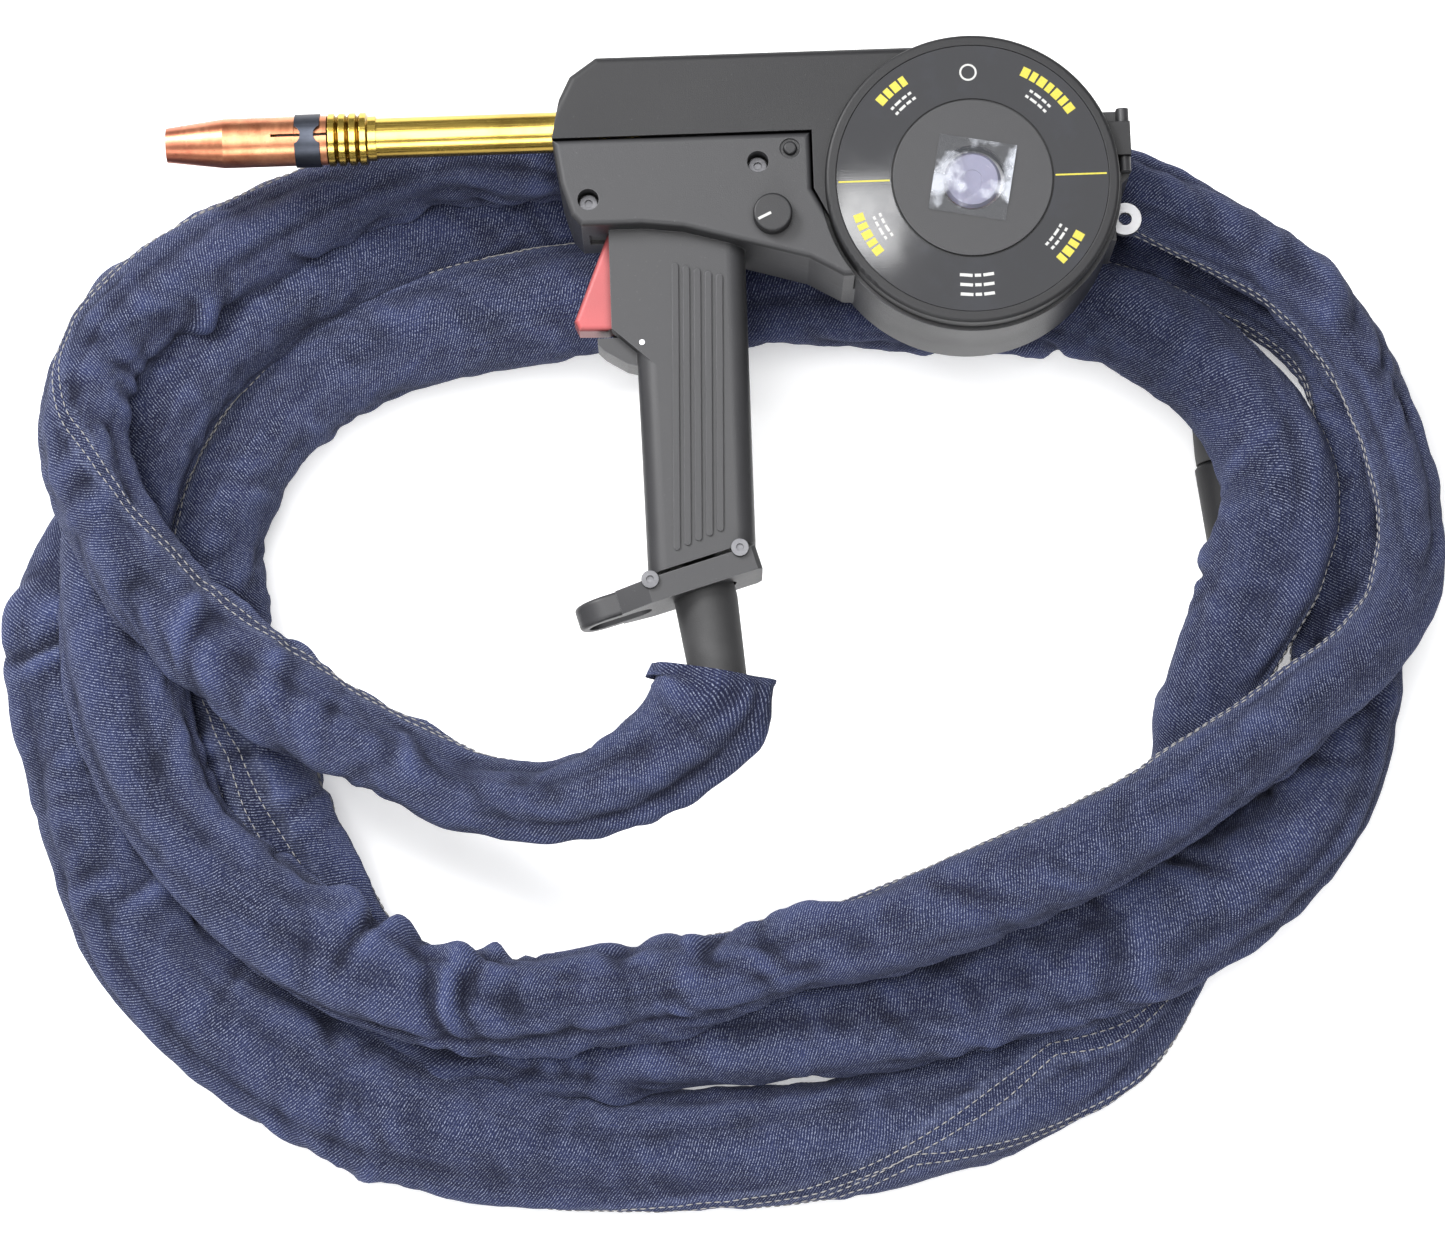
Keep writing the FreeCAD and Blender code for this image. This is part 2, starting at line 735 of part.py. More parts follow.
def make_feed_parts():
    """Gear motor, frame, the two rolls, the pressure arm with its spring and screw, and the wire itself."""
    roll = dim("roll_across")
    gap = dim("wire_radius") + 0.03
    drive_y = -dim("drive_radius") - gap
    press_y = dim("pressure_radius") + gap
    shaft_bore = 3.05

    keep(rod("motor_can", 13.5, 27, Vector(182, -26.3, -9), X), "drive_motor")

    gear_case = box("gear_case", (209.2, -40, -22.5), (29.1, 40, 16))
    gear_bore = rod("gear_bore", shaft_bore, 14, Vector(roll, drive_y, -20), Z)
    keep(cut("gear_case_cut", gear_case, gear_bore), "gearbox")

    plate = box("frame_plate", (198, -12.6, -6.4), (50, 31.6, 2))
    ledge = box("frame_ledge", (214, -24, -6.4), (24.5, 14, 2))
    lug = box("frame_lug", (236, -9, -4.4), (8, 5.5, 15))
    shaft_hole = rod("frame_shaft_hole", 4.0, 6, Vector(roll, drive_y, -8), Z)
    guide_bed = box("frame_guide_bed", (241, -3, -4.4), (7, 6, 1.3))
    post = rod("frame_post", 2.5, 21, Vector(ARM_PIVOT[0], ARM_PIVOT[1], -6), Z)
    joined = fuse("frame_fused", [plate, ledge, lug, guide_bed, post])
    keep(cut("frame_cut", joined, shaft_hole), "drive_frame")

    disc_roll = rod("drive_disc", "drive_radius", 8, Vector(roll, drive_y, -4), Z)
    shaft = rod("drive_shaft", 3.0, 25, Vector(roll, drive_y, -19.5), Z)
    keep(fuse("drive_fused", [disc_roll, shaft]), "drive_roll")

    keep(
        cut(
            "press_cut",
            rod("press_disc", "pressure_radius", 8, Vector(roll, press_y, -4), Z),
            rod("press_bore", 2.55, 10, Vector(roll, press_y, -5), Z),
        ),
        "pressure_roll",
    )

    arm = new_body("pressure_arm")
    prism(arm, [(198, 9.5), (198, 17), (246, 14.5), (246, 9.0), (228, 5), (216, 5)], 4.6, 4.4)
    cut_disc(arm, ARM_PIVOT, 2.55, 4, 6)
    cut_prism(arm, [(237, 4), (237, 18), (243, 18), (243, 4)], 5.9, 4)
    disc(arm, (roll, press_y), 2.5, -4, 9)

    screw = fuse(
        "tension_fused",
        [
            rod("tension_stem", 1.2, 24.5, Vector(240, -3.5, 7.6), Y),
            rod("tension_head", 3.2, 1.5, Vector(240, 20.0, 7.6), Y),
        ],
    )
    keep(screw, "tension_screw")
    spring = coil_spring(2.4, 0.4, 1.2, 3.6, Vector(240, 15.9, 7.6), Y)
    shaped("pressure_spring", spring)

    guide = rod("guide_tube", 3.0, 24, Vector(240, 0, 0), X)
    keep(cut("guide_cut", guide, rod("guide_bore", 1.0, 26, Vector(239, 0, 0), X)), "inlet_guide")

    straight = rod("wire_straight", "wire_radius", 257, Vector(8, 0, 0), X)
    reel_side = Vector(dim("drum_across"), dim("drum_height"), 0)
    meet = Vector(265, 0, 0)
    reach = reel_side - meet
    tangent = math.sqrt(reach.Length**2 - 43.6**2)
    lean = math.atan2(reach.y, reach.x) + math.asin(43.6 / reach.Length)
    heading = Vector(math.cos(lean), math.sin(lean), 0)
    leaning = rod("wire_leaning", "wire_radius", tangent, meet, heading)
    keep(fuse("wire_fused", [straight, leaning]), "welding_wire")


# ---------------------------------------------------------------- controls


def make_controls():
    """Trigger with its pins, spring and switch, speed knob with its potentiometer, and push button."""
    half = dim("trigger_half")
    trigger = new_body("trigger")
    face = [(182.5, -45.6), (167.6, -82.4), (169.5, -86.5), (181, -86.8)]
    prism(trigger, face + [(188.5, -84), (190, -62), (190.5, -46.2)], -half, "trigger_half + trigger_half")
    cut_disc(trigger, TRIGGER_PIVOT, PIN_RADIUS + 0.05, -9, 18)
    round_edges(trigger, 2.2, lambda m: abs(m.z) > half - 0.1 and (m.x < 177 or m.y < -86))

    pivot = rod("pivot_pin", PIN_RADIUS, 24, Vector(TRIGGER_PIVOT[0], TRIGGER_PIVOT[1], -12), Z)
    keep(pivot, "trigger_pivot_pin")
    keep(rod("switch_pin_rod", 1.2, 27.2, Vector(SWITCH_PIN[0], SWITCH_PIN[1], -10), Z), "switch_pin")
    keep(box("switch_block", (202.5, -84, -5), (12, 22, 10)), "trigger_switch")
    shaped("trigger_spring", coil_spring(2.6, 0.4, 2.4, 10.2, Vector(190.9, -70, 0), X))

    face_z = dim("body_half")
    keep(rod("pot_can", 8.0, 12, Vector(KNOB[0], KNOB[1], 5), Z), "speed_potentiometer")
    knob = new_body("speed_knob")
    disc(knob, KNOB, 3.2, 17.2, face_z - 17.2 + 0.4)
    disc(knob, KNOB, "knob_radius", face_z + 0.3, 6.2)
    round_edges(knob, 1.0, lambda m: m.z > face_z + 6.4)

    keep(rod("button_can", 4.0, 9, Vector(BUTTON[0], BUTTON[1], 8), Z), "button_switch")
    button = new_body("push_button")
    disc(button, BUTTON, "button_radius", 19.4, face_z - 19.4 + 1.6)
    round_edges(button, 0.8, lambda m: m.z > face_z + 1.5)

    screws = []
    for number, place in enumerate((NOSE_SCREW, BODY_SCREW)):
        stem = rod(f"case_stem_{number}", 1.7, SCREW_SEAT + 17, Vector(place[0], place[1], -17), Z)
        head = rod(f"case_head_{number}", 3.6, 2.4, Vector(place[0], place[1], SCREW_SEAT), Z)
        socket = rod(f"case_socket_{number}", 1.6, 1.6, Vector(place[0], place[1], SCREW_SEAT + 1.2), Z)
        screws.append(cut(f"case_screw_{number}", fuse(f"case_fused_{number}", [stem, head]), socket))
    group("case_screws", screws)


# ---------------------------------------------------------------- grip end


def make_grip_plate():
    """End plate of the grip with a long eyelet in its front tongue, tilted with the foot of the grip."""
    body = new_body("grip_plate")
    thickness = dim("plate_thickness")
    half = dim("plate_half")
    collar = [(-9, -half), (36, -half), (38, -half + 3), (38, half - 3), (36, half), (-9, half)]
    collar += [(-22, 13), (-22, -13)]
    prism(body, collar, -thickness / 2, "plate_thickness")
    tongue = new_sketch(body, "XY_Plane", -thickness / 2)
    pill(tongue, (-27.5, 0), (-10, 0), 12.5)
    pad(body, tongue, "plate_thickness")
    round_edges(body, 1.8, lambda m: abs(m.z) > thickness / 2 - 0.1 and m.x < -22)
    eyelet = new_sketch(body, "XY_Plane", -thickness)
    pill(eyelet, (-30, 0), (-16, 0), 6.5)
    pocket(body, eyelet, thickness * 2)
    cut_disc(body, (13.5, 0), 13.4, -thickness, thickness * 2)
    tilt = Rotation(Z, 16).multiply(Rotation(X, -90))
    body.Placement = Placement(PLATE_CENTRE, tilt)


def make_grip_fittings():
    """Screws of the end plate, the rubber boot, and the power lead inside the grip."""
    screws = []
    for number, place in enumerate(GRIP_SCREWS):
        head = rod(f"plate_head_{number}", 3.6, 1.6, Vector(place[0], place[1], 18.05), Z)
        socket = rod(f"plate_socket_{number}", 1.5, 1.2, Vector(place[0], place[1], 18.6), Z)
        screws.append(cut(f"plate_screw_{number}", head, socket))
    group("plate_screws", screws)

    axis = BOOT_END - BOOT_TOP
    boot = new_body("cable_boot")
    length = axis.Length
    shape = [(0, 12.0), (5, 12.8), (8, "boot_radius"), (length, 11.6), (length, 7.4), (0, 7.4)]
    turn(boot, shape)
    boot.Placement = Placement(BOOT_TOP, Rotation(X, axis))

    bends = [(212, -147, 0), (222, -110, 4), (223, -70, 9), (214, -46, 10.5), (198, -24, 15.5)]
    power = spline(bends + [(186, -11.4, 15.5)])
    shaped("power_lead", sweep_round(power, 2.6))


def make_hanging_eye():
    """Stamped steel eye whose tongue is clamped in the housing's side."""
    eye = new_body("hanging_eye")
    disc(eye, EYE, 6.8, -1.5, 3.0)
    prism(eye, [(387, EYE[1] - 3), (387, EYE[1] + 3), (394, EYE[1] + 3), (394, EYE[1] - 3)], -1.5, 3.0)
    cut_disc(eye, EYE, 2.7, -3, 6)


# ---------------------------------------------------------------- coiled lead and its jacket

# How the jacketed lead lies, from the boot to its far end: one free sweep and three turns. Each point is
# the middle of the jacket. The first turn lies on top, later ones below it, and the lowest rests on the floor.
LAY = [
    (222, -240, 0), (219, -258, -5), (196, -279, -12), (150, -284, -21), (95, -264, -29), (45, -230, -31),
    (2, -190, -29), (-32, -140, -27), (-40, -90, -36), (-12, -46, -41), (50, -18, -41), (150, -8, -40),
    (270, -8, -43), (390, -16, -44), (468, -50, -45), (508, -110, -44), (518, -180, -39), (494, -236, -31),
    (420, -288, -30), (330, -326, -40), (230, -352, -47), (130, -354, -47), (40, -326, -46),
    (-14, -270, -49), (-28, -205, -51), (-12, -140, -50), (24, -90, -50), (75, -46, -60), (150, -12, -67),
    (270, -8, -70), (380, -24, -71), (450, -66, -70), (482, -125, -68), (487, -185, -65), (476, -250, -57),
    (438, -312, -48), (370, -356, -48), (280, -376, -60), (180, -382, -69), (90, -362, -71),
    (38, -312, -72), (16, -250, -72), (14, -190, -71), (36, -134, -57), (80, -92, -57), (160, -60, -57),
    (270, -56, -56), (370, -70, -54), (424, -108, -47), (449, -160, -45), (449, -195, -45),
    (441, -225, -51), (424, -270, -62), (404, -330, -73), (374, -384, -73), (310, -416, -72),
    (220, -424, -72), (120, -416, -72), (30, -386, -72), (-34, -325, -72), (-62, -245, -72),
    (-62, -165, -72), (-30, -108, -73), (6, -86, -73),
]
FREE_END = [
    (10.6, -83.6, -75), (40, -78, -76), (80, -73, -76), (160, -60, -76), (270, -57, -76), (370, -71, -76),
    (402, -76.5, -75), (421, -82, -73), (433, -89.5, -71), (437, -97.5, -70.5), (437.8, -104.8, -70.5),
]
CONNECTOR_START = Vector(438, -106, -70.5)
CONNECTOR_END = Vector(452, -225, -70.5)


def make_lead():
    """The coaxial lead outside the jacket: up into the grip, and from the far end to the connector."""
    axis = BOOT_END - BOOT_TOP
    inner_end = BOOT_TOP - axis * 1.06
    keep(rod("lead_in_grip", "lead_radius", axis.Length * 2.115, inner_end, axis), "torch_lead")
    shaped("lead_free_end", sweep_round(spline(FREE_END), dim("lead_radius")))


def make_jacket():
    size = (dim("jacket_half_width"), dim("jacket_half_height"))
    shaped("denim_jacket", faceted_tube(spline(LAY), 2 * len(LAY), *size))


def make_connector():
    """The plug on the lead's far end: strain relief, shell, turning nut, gas pin and three control pins."""
    facing = Rotation(X, CONNECTOR_END - CONNECTOR_START)
    profiles = {
        "connector_strain_relief": [(0, 0), (0, 9.5), (6, 10.5), (26, 12), (30, 12), (30, 0)],
        "connector_shell": [(30.1, 0), (30.1, 11), (32, "connector_radius"), (66, "connector_radius"),
                            (70, 11), (70, 8.5), (91, 8.5), (91, 7.9), (103, 7.9), (103, 0)],
        "connector_nut": [(72, 8.55), (72, "connector_radius"), (88, "connector_radius"), (90, 12),
                          (90, 8.55)],
        "gas_pin": [(103.05, 0), (103.05, 4.5), (112, 4.5), (118, 4), (119, 3.2), (119, 0)],
    }
    for label, profile in profiles.items():
        turned(label, profile).Placement = Placement(CONNECTOR_START, facing)
    pins = []
    for turn_about in (60, 180, 300):
        aside = Rotation(X, turn_about).multVec(Vector(0, 6.4, 0))
        base = CONNECTOR_START + facing.multVec(Vector(103.05, 0, 0) + aside)
        pins.append(rod("control_pin", 0.9, 9, base, CONNECTOR_END - CONNECTOR_START))
    group("control_pins", pins)


make_gas_nozzle()
make_nozzle_clamp_band()
make_nozzle_insulator()
make_nozzle_adapter()
make_neck_tube()
make_gas_diffuser()
make_contact_tip()
make_wire_liner()
make_current_block()
make_housing_rear()
make_housing_front()
make_spool_door()
make_door_fittings()
make_spool_parts()
make_feed_parts()
make_controls()
make_grip_plate()
make_grip_fittings()
make_hanging_eye()
make_lead()
make_jacket()
make_connector()
doc.recompute()

os.makedirs("parts", exist_ok=True)
for obj in doc.Objects:
    if "Invalid" in obj.State or "Error" in obj.State:
        raise RuntimeError(f"{obj.Label} failed: {obj.State}")
for node in nodes:
    shape = node.Shape
    if shape.isNull() or not shape.isValid() or not shape.Solids:
        raise RuntimeError(f"{node.Label} has no valid solid")
    shape.exportStep(f"parts/{node.Label}.step")
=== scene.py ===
import math

import bpy
import numpy as np
from mathutils import Matrix, Vector, noise


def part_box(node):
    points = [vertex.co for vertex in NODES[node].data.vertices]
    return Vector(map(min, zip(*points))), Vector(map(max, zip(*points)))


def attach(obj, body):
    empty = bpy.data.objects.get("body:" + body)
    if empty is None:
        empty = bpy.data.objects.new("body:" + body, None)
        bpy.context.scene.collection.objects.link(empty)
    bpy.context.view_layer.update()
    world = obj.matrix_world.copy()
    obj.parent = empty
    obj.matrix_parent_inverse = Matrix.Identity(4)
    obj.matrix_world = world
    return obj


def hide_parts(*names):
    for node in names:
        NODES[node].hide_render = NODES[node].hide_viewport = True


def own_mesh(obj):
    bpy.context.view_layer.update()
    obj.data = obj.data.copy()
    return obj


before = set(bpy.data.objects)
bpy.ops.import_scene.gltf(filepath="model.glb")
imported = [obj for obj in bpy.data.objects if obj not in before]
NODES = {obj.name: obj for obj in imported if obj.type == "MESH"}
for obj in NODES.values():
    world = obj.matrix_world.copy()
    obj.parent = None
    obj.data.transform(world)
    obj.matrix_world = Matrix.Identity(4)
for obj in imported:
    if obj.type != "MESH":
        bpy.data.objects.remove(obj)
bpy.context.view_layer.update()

# A spool-gun MIG torch that lies on its coiled lead. The lead wears a denim jacket with stitched seams.
# Frame, in metres: the origin is the centre of the nozzle's mouth, +X runs along the neck away from it,
# +Y points away from the grip and +Z stands up from the floor.

MM = 0.001
FLOOR_Z = -85.0 * MM
DRUM = Vector((333.0, -33.0, 0.0)) * MM


# ---------------------------------------------------------------- shader helpers


def linear(*srgb):
    """A colour given as three 0-255 screen values, in linear light with full alpha."""
    out = []
    for value in srgb:
        share = value / 255.0
        out.append(share / 12.92 if share <= 0.04045 else ((share + 0.055) / 1.055) ** 2.4)
    return (*out, 1.0)


def scaled(color, factor):
    """The colour made lighter or darker by a factor."""
    return (*(c * factor for c in color[:3]), 1.0)


class Shader:
    """One material's node tree, built a node at a time."""

    def __init__(self, name):
        self.material = bpy.data.materials.new(name)
        self.material.use_nodes = True
        self.tree = self.material.node_tree
        self.surface = self.tree.nodes["Principled BSDF"]

    def node(self, kind, **settings):
        made = self.tree.nodes.new(kind)
        for key, value in settings.items():
            setattr(made, key, value)
        return made

    def link(self, source, target):
        self.tree.links.new(source, target)

    def value(self, target, given):
        """Feed an input from a socket or a plain value."""
        if isinstance(given, bpy.types.NodeSocket):
            self.link(given, target)
        else:
            target.default_value = given

    def math(self, operation, *inputs, clamp=False):
        made = self.node("ShaderNodeMath", operation=operation, use_clamp=clamp)
        for target, given in zip(made.inputs, inputs):
            self.value(target, given)
        return made.outputs[0]

    def mix(self, share, low, high, blend="MIX"):
        made = self.node("ShaderNodeMix", data_type="RGBA", blend_type=blend)
        self.value(made.inputs["Factor"], share)
        self.value(made.inputs["A"], low)
        self.value(made.inputs["B"], high)
        return made.outputs["Result"]

    def steps(self, given, low, high, to_low=0.0, to_high=1.0):
        """Map the span low..high of a value onto another span, clamped."""
        made = self.node("ShaderNodeMapRange")
        for target, number in zip(made.inputs, (given, low, high, to_low, to_high)):
            self.value(target, number)
        return made.outputs[0]

    def place(self, kind="Object", scale=(1, 1, 1), turn=(0, 0, 0)):
        source = self.node("ShaderNodeTexCoord").outputs[kind]
        mapping = self.node("ShaderNodeMapping")
        self.link(source, mapping.inputs["Vector"])
        mapping.inputs["Scale"].default_value = scale
        mapping.inputs["Rotation"].default_value = turn
        return mapping.outputs["Vector"]

    def noise(self, where, scale, detail=3.0, rough=0.55):
        made = self.node("ShaderNodeTexNoise")
        self.link(where, made.inputs["Vector"])
        made.inputs["Scale"].default_value = scale
        made.inputs["Detail"].default_value = detail
        made.inputs["Roughness"].default_value = rough
        return made.outputs["Fac"]

    def cells(self, where, scale, feature="F1"):
        made = self.node("ShaderNodeTexVoronoi", feature=feature)
        self.link(where, made.inputs["Vector"])
        made.inputs["Scale"].default_value = scale
        return made.outputs["Distance"]

    def bump(self, height, distance, strength=1.0, under=None):
        made = self.node("ShaderNodeBump")
        self.link(height, made.inputs["Height"])
        made.inputs["Distance"].default_value = distance
        made.inputs["Strength"].default_value = strength
        if under is not None:
            self.link(under, made.inputs["Normal"])
        return made.outputs["Normal"]

    def painted(self, name):
        """A value stored at each point of the mesh."""
        return self.node("ShaderNodeAttribute", attribute_name=name).outputs["Fac"]

    def crevice_shade(self, reach):
        """A mask from ambient occlusion that is 1 deep in grooves and holes and 0 on open faces, for painting
        shade into them.
        """
        shade = self.node("ShaderNodeAmbientOcclusion", samples=6)
        shade.inputs["Distance"].default_value = reach
        return self.steps(shade.outputs["AO"], 0.8, 0.2)

    def sides(self):
        """A mask that is 1 on steep faces and 0 on faces that look up, for painting shade onto the sides."""
        facing = self.node("ShaderNodeSeparateXYZ")
        self.link(self.node("ShaderNodeNewGeometry").outputs["Normal"], facing.inputs[0])
        return self.steps(facing.outputs[2], 0.95, 0.4)

    def rounded_edges(self, radius):
        """A normal that rounds off sharp edges, and a mask that is 1 on those edges."""
        rounded = self.node("ShaderNodeBevel", samples=4)
        rounded.inputs["Radius"].default_value = radius
        apart = self.node("ShaderNodeVectorMath", operation="DOT_PRODUCT")
        self.link(rounded.outputs["Normal"], apart.inputs[0])
        self.link(self.node("ShaderNodeNewGeometry").outputs["Normal"], apart.inputs[1])
        return rounded.outputs["Normal"], self.steps(apart.outputs["Value"], 0.985, 0.85)

    def finish(self, color, rough, metal=0.0, normal=None, **more):
        self.value(self.surface.inputs["Base Color"], color)
        self.value(self.surface.inputs["Roughness"], rough)
        self.value(self.surface.inputs["Metallic"], metal)
        if normal is not None:
            self.link(normal, self.surface.inputs["Normal"])
        for name, given in more.items():
            self.value(self.surface.inputs[name.replace("_", " ")], given)
        return self.material


# ---------------------------------------------------------------- materials


def moulded_plastic(name, color, worn, rough=0.5, grain=0.00012):
    """Spark-textured moulding: fine grain, soft blotches, rubbed edges, dust flecks, painted shade on steep
    sides and painted shade in grooves and holes.
    """
    s = Shader(name)
    where = s.place()
    blotch = s.noise(where, 18.0, 4.0)
    grit = s.noise(where, 2600.0, 2.0)
    dust = s.noise(where, 900.0, 3.0, 0.7)
    rounded, edge = s.rounded_edges(0.6 * MM)
    rubbed = s.math("MULTIPLY", edge, s.steps(blotch, 0.35, 0.6, 0.25, 0.8))
    base = s.mix(s.steps(blotch, 0.35, 0.7), color, scaled(color, 1.25))
    # Painted shade: steep faces darkened towards a deeper copy of the colour.
    base = s.mix(s.math("MULTIPLY", s.sides(), 0.75), base, scaled(color, 0.4))
    base = s.mix(rubbed, base, worn)
    base = s.mix(s.steps(dust, 0.66, 0.75, 0.0, 0.25), base, worn)
    # Painted shade: grooves, holes and gaps darkened where ambient occlusion finds them.
    base = s.mix(s.math("MULTIPLY", s.crevice_shade(5 * MM), 0.85), base, linear(8, 8, 9))
    roughness = s.steps(blotch, 0.3, 0.75, rough - 0.06, rough + 0.1)
    return s.finish(base, roughness, normal=s.bump(grit, grain, 0.6, rounded), Specular_IOR_Level=0.35)


def turned_metal(name, light, dark, rough, scratch_axis=(1, 90, 90), stain=0.5):
    """Turned or drawn metal with fine tool lines, soft stains, rounded edges and painted shade on steep sides.
    """
    s = Shader(name)
    where = s.place(scale=scratch_axis)
    lines = s.noise(where, 30.0, 5.0, 0.7)
    spots = s.noise(s.place(), 60.0, 5.0, 0.65)
    base = s.mix(s.steps(spots, 0.45, 0.75, 0.0, stain), light, dark)
    # Painted shade: steep faces darkened towards a deeper copy of the dark tone.
    base = s.mix(s.math("MULTIPLY", s.sides(), 0.7), base, scaled(dark, 0.3))
    roughness = s.steps(lines, 0.3, 0.7, rough - 0.08, rough + 0.12)
    rounded, _ = s.rounded_edges(0.25 * MM)
    return s.finish(base, roughness, 1.0, s.bump(lines, 0.00004, 0.2, rounded))


def heat_tinted_copper():
    """Drawn copper, rosy at the mouth with faint spatter marks, and paler towards the clamp band."""
    s = Shader("copper_tinted")
    where = s.place()
    along = s.node("ShaderNodeSeparateXYZ")
    s.link(where, along.inputs[0])
    mouth = s.steps(along.outputs[0], 0.0, 0.03, 1.0, 0.0)
    clouds = s.noise(where, 90.0, 5.0, 0.65)
    lines = s.noise(s.place(scale=(220, 6, 6)), 6.0, 4.0)
    base = s.mix(s.steps(clouds, 0.35, 0.7), linear(214, 150, 112), linear(178, 108, 78))
    base = s.mix(s.math("MULTIPLY", mouth, 0.45), base, linear(170, 92, 84))
    specks = s.steps(s.cells(where, 420.0), 0.0, 0.16, 0.55, 0.0)
    base = s.mix(specks, base, linear(92, 58, 44))
    rough = s.steps(lines, 0.3, 0.7, 0.28, 0.4)
    return s.finish(base, rough, 1.0, s.bump(lines, 0.00002, 0.1))


def polished_disc():
    """Glossy black printed label with faint scratches and fingerprints."""
    s = Shader("disc_black")
    where = s.place()
    smear = s.noise(where, 45.0, 5.0, 0.6)
    scratches = s.noise(s.place(scale=(1, 60, 1), turn=(0, 0, 0.6)), 40.0, 3.0)
    rough = s.steps(smear, 0.35, 0.7, 0.03, 0.07)
    base = s.mix(s.steps(smear, 0.5, 0.8, 0.0, 0.3), linear(20, 21, 27), linear(44, 48, 62))
    return s.finish(base, rough, normal=s.bump(scratches, 0.000006, 0.2), Specular_IOR_Level=0.2)


def printed_ink(name, color):
    """Screen-printed ink, slightly broken up."""
    s = Shader(name)
    worn = s.noise(s.place(), 1800.0, 3.0, 0.7)
    return s.finish(s.mix(s.steps(worn, 0.45, 0.8, 0.0, 0.8), color, scaled(color, 0.55)), 0.35)


def clear_film():
    """Thin clear film with a creased, slightly milky surface."""
    s = Shader("clear_film")
    where = s.place()
    crease = s.noise(where, 120.0, 4.0, 0.6)
    milk = s.steps(s.noise(where, 70.0, 3.0), 0.5, 0.66, 0.03, 0.4)
    shine = s.steps(crease, 0.3, 0.7, 0.05, 0.2)
    made = s.finish(linear(226, 230, 240), shine, normal=s.bump(crease, 0.0012, 0.7), IOR=1.45, Alpha=milk)
    made.surface_render_method = "DITHERED"
    return made


def nylon(name, color):
    """Cloudy moulded nylon that lets a little light in."""
    s = Shader(name)
    cloud = s.noise(s.place(), 80.0, 3.0)
    base = s.mix(cloud, color, scaled(color, 1.3))
    return s.finish(base, 0.34, normal=s.bump(cloud, 0.0001, 0.4), Subsurface_Weight=0.1)


def rubber(name, color, rough=0.62):
    """Moulded rubber with a dusty bloom."""
    s = Shader(name)
    where = s.place()
    bloom = s.noise(where, 40.0, 4.0)
    grain = s.noise(where, 1500.0, 2.0)
    base = s.mix(s.steps(bloom, 0.4, 0.75, 0.0, 0.6), color, scaled(color, 1.8))
    return s.finish(base, rough, normal=s.bump(grain, 0.00015, 0.5))


def denim():
    """Indigo twill: pale weft flecks on diagonal ridges, faded on seams, paler on fold ridges from wear and
    painted highlight, and painted shade in creases.
    """
    s = Shader("denim_cloth")
    cloth = s.place("UV")
    across = s.node("ShaderNodeSeparateXYZ")
    s.link(cloth, across.inputs[0])
    along_u, around_v = across.outputs[0], across.outputs[1]
    ridge_pitch, weft_pitch = 1.25 * MM, 0.7 * MM
    wobble = s.math("MULTIPLY", s.noise(cloth, 320.0, 2.0), 0.0011)
    slope = s.math("ADD", s.math("ADD", along_u, s.math("MULTIPLY", around_v, 0.62)), wobble)
    ridge = s.math("SINE", s.math("MULTIPLY", slope, 2 * math.pi / ridge_pitch))
    weft = s.math("SINE", s.math("MULTIPLY", around_v, 2 * math.pi / weft_pitch))
    fleck = s.noise(cloth, 2100.0, 2.0, 0.6)
    slub = s.noise(s.place("UV", scale=(1, 14, 1)), 60.0, 4.0, 0.65)
    fade = s.noise(cloth, 26.0, 4.0, 0.6)
    relief = s.painted("relief")
    # The relief paints light and shade: fold ridges paler (wear fade with painted highlight), creases darker
    # (painted shade).
    raised = s.steps(relief, 0.5, 0.95)
    crease_shade = s.steps(relief, 0.5, 0.1)
    worn_seam = s.math("MULTIPLY", s.painted("seam_edge"), s.steps(s.noise(cloth, 210.0, 3.0), 0.35, 0.65))
    deep = s.mix(s.steps(fade, 0.3, 0.72), linear(20, 24, 50), linear(38, 44, 78))
    # Paler on fold ridges: wear fade with painted highlight.
    deep = s.mix(s.math("MULTIPLY", raised, 0.6), deep, linear(66, 76, 120))
    deep = s.mix(s.steps(slub, 0.45, 0.75, 0.0, 0.4), deep, linear(68, 76, 112))
    deep = s.mix(s.math("MULTIPLY", worn_seam, 0.55), deep, linear(104, 112, 144))
    thread = s.math("MULTIPLY", s.steps(ridge, 0.1, 0.9), s.steps(fleck, 0.47, 0.6))
    base = s.mix(s.math("MULTIPLY", thread, 0.72), deep, linear(160, 168, 190))
    dark = s.math("MULTIPLY", s.steps(ridge, -0.2, -1.0), 0.55)
    base = s.mix(dark, base, linear(12, 15, 32))
    # Painted shade in the creases.
    base = s.mix(s.math("MULTIPLY", crease_shade, 0.7), base, linear(10, 12, 28))
    height = s.math("ADD", s.math("MULTIPLY", ridge, 0.6), s.math("MULTIPLY", weft, 0.3))
    fine = s.bump(height, 0.00026, 0.8)
    soft = s.bump(s.noise(cloth, 150.0, 3.0), 0.0009, 0.5, fine)
    return s.finish(base, 0.88, normal=soft, Sheen_Weight=0.15, Sheen_Roughness=0.5,
                    Sheen_Tint=linear(150, 158, 200), Specular_IOR_Level=0.25)


def stitch_thread():
    """Twisted pale cotton."""
    s = Shader("stitch_thread")
    where = s.place()
    twist = s.noise(where, 1400.0, 2.0)
    base = s.mix(twist, linear(112, 112, 116), linear(176, 174, 172))
    return s.finish(base, 0.8, normal=s.bump(twist, 0.0002))


def pale_floor():
    """White paper that glows a little, so shadows on it stay faint."""
    s = Shader("floor_paper")
    grain = s.noise(s.place(), 300.0, 3.0)
    base = s.mix(grain, (0.93, 0.93, 0.935, 1.0), (0.97, 0.97, 0.972, 1.0))
    return s.finish(base, 0.9, normal=s.bump(grain, 0.0001, 0.2), Emission_Color=(1.0, 1.0, 1.0, 1.0),
                    Emission_Strength=0.38)


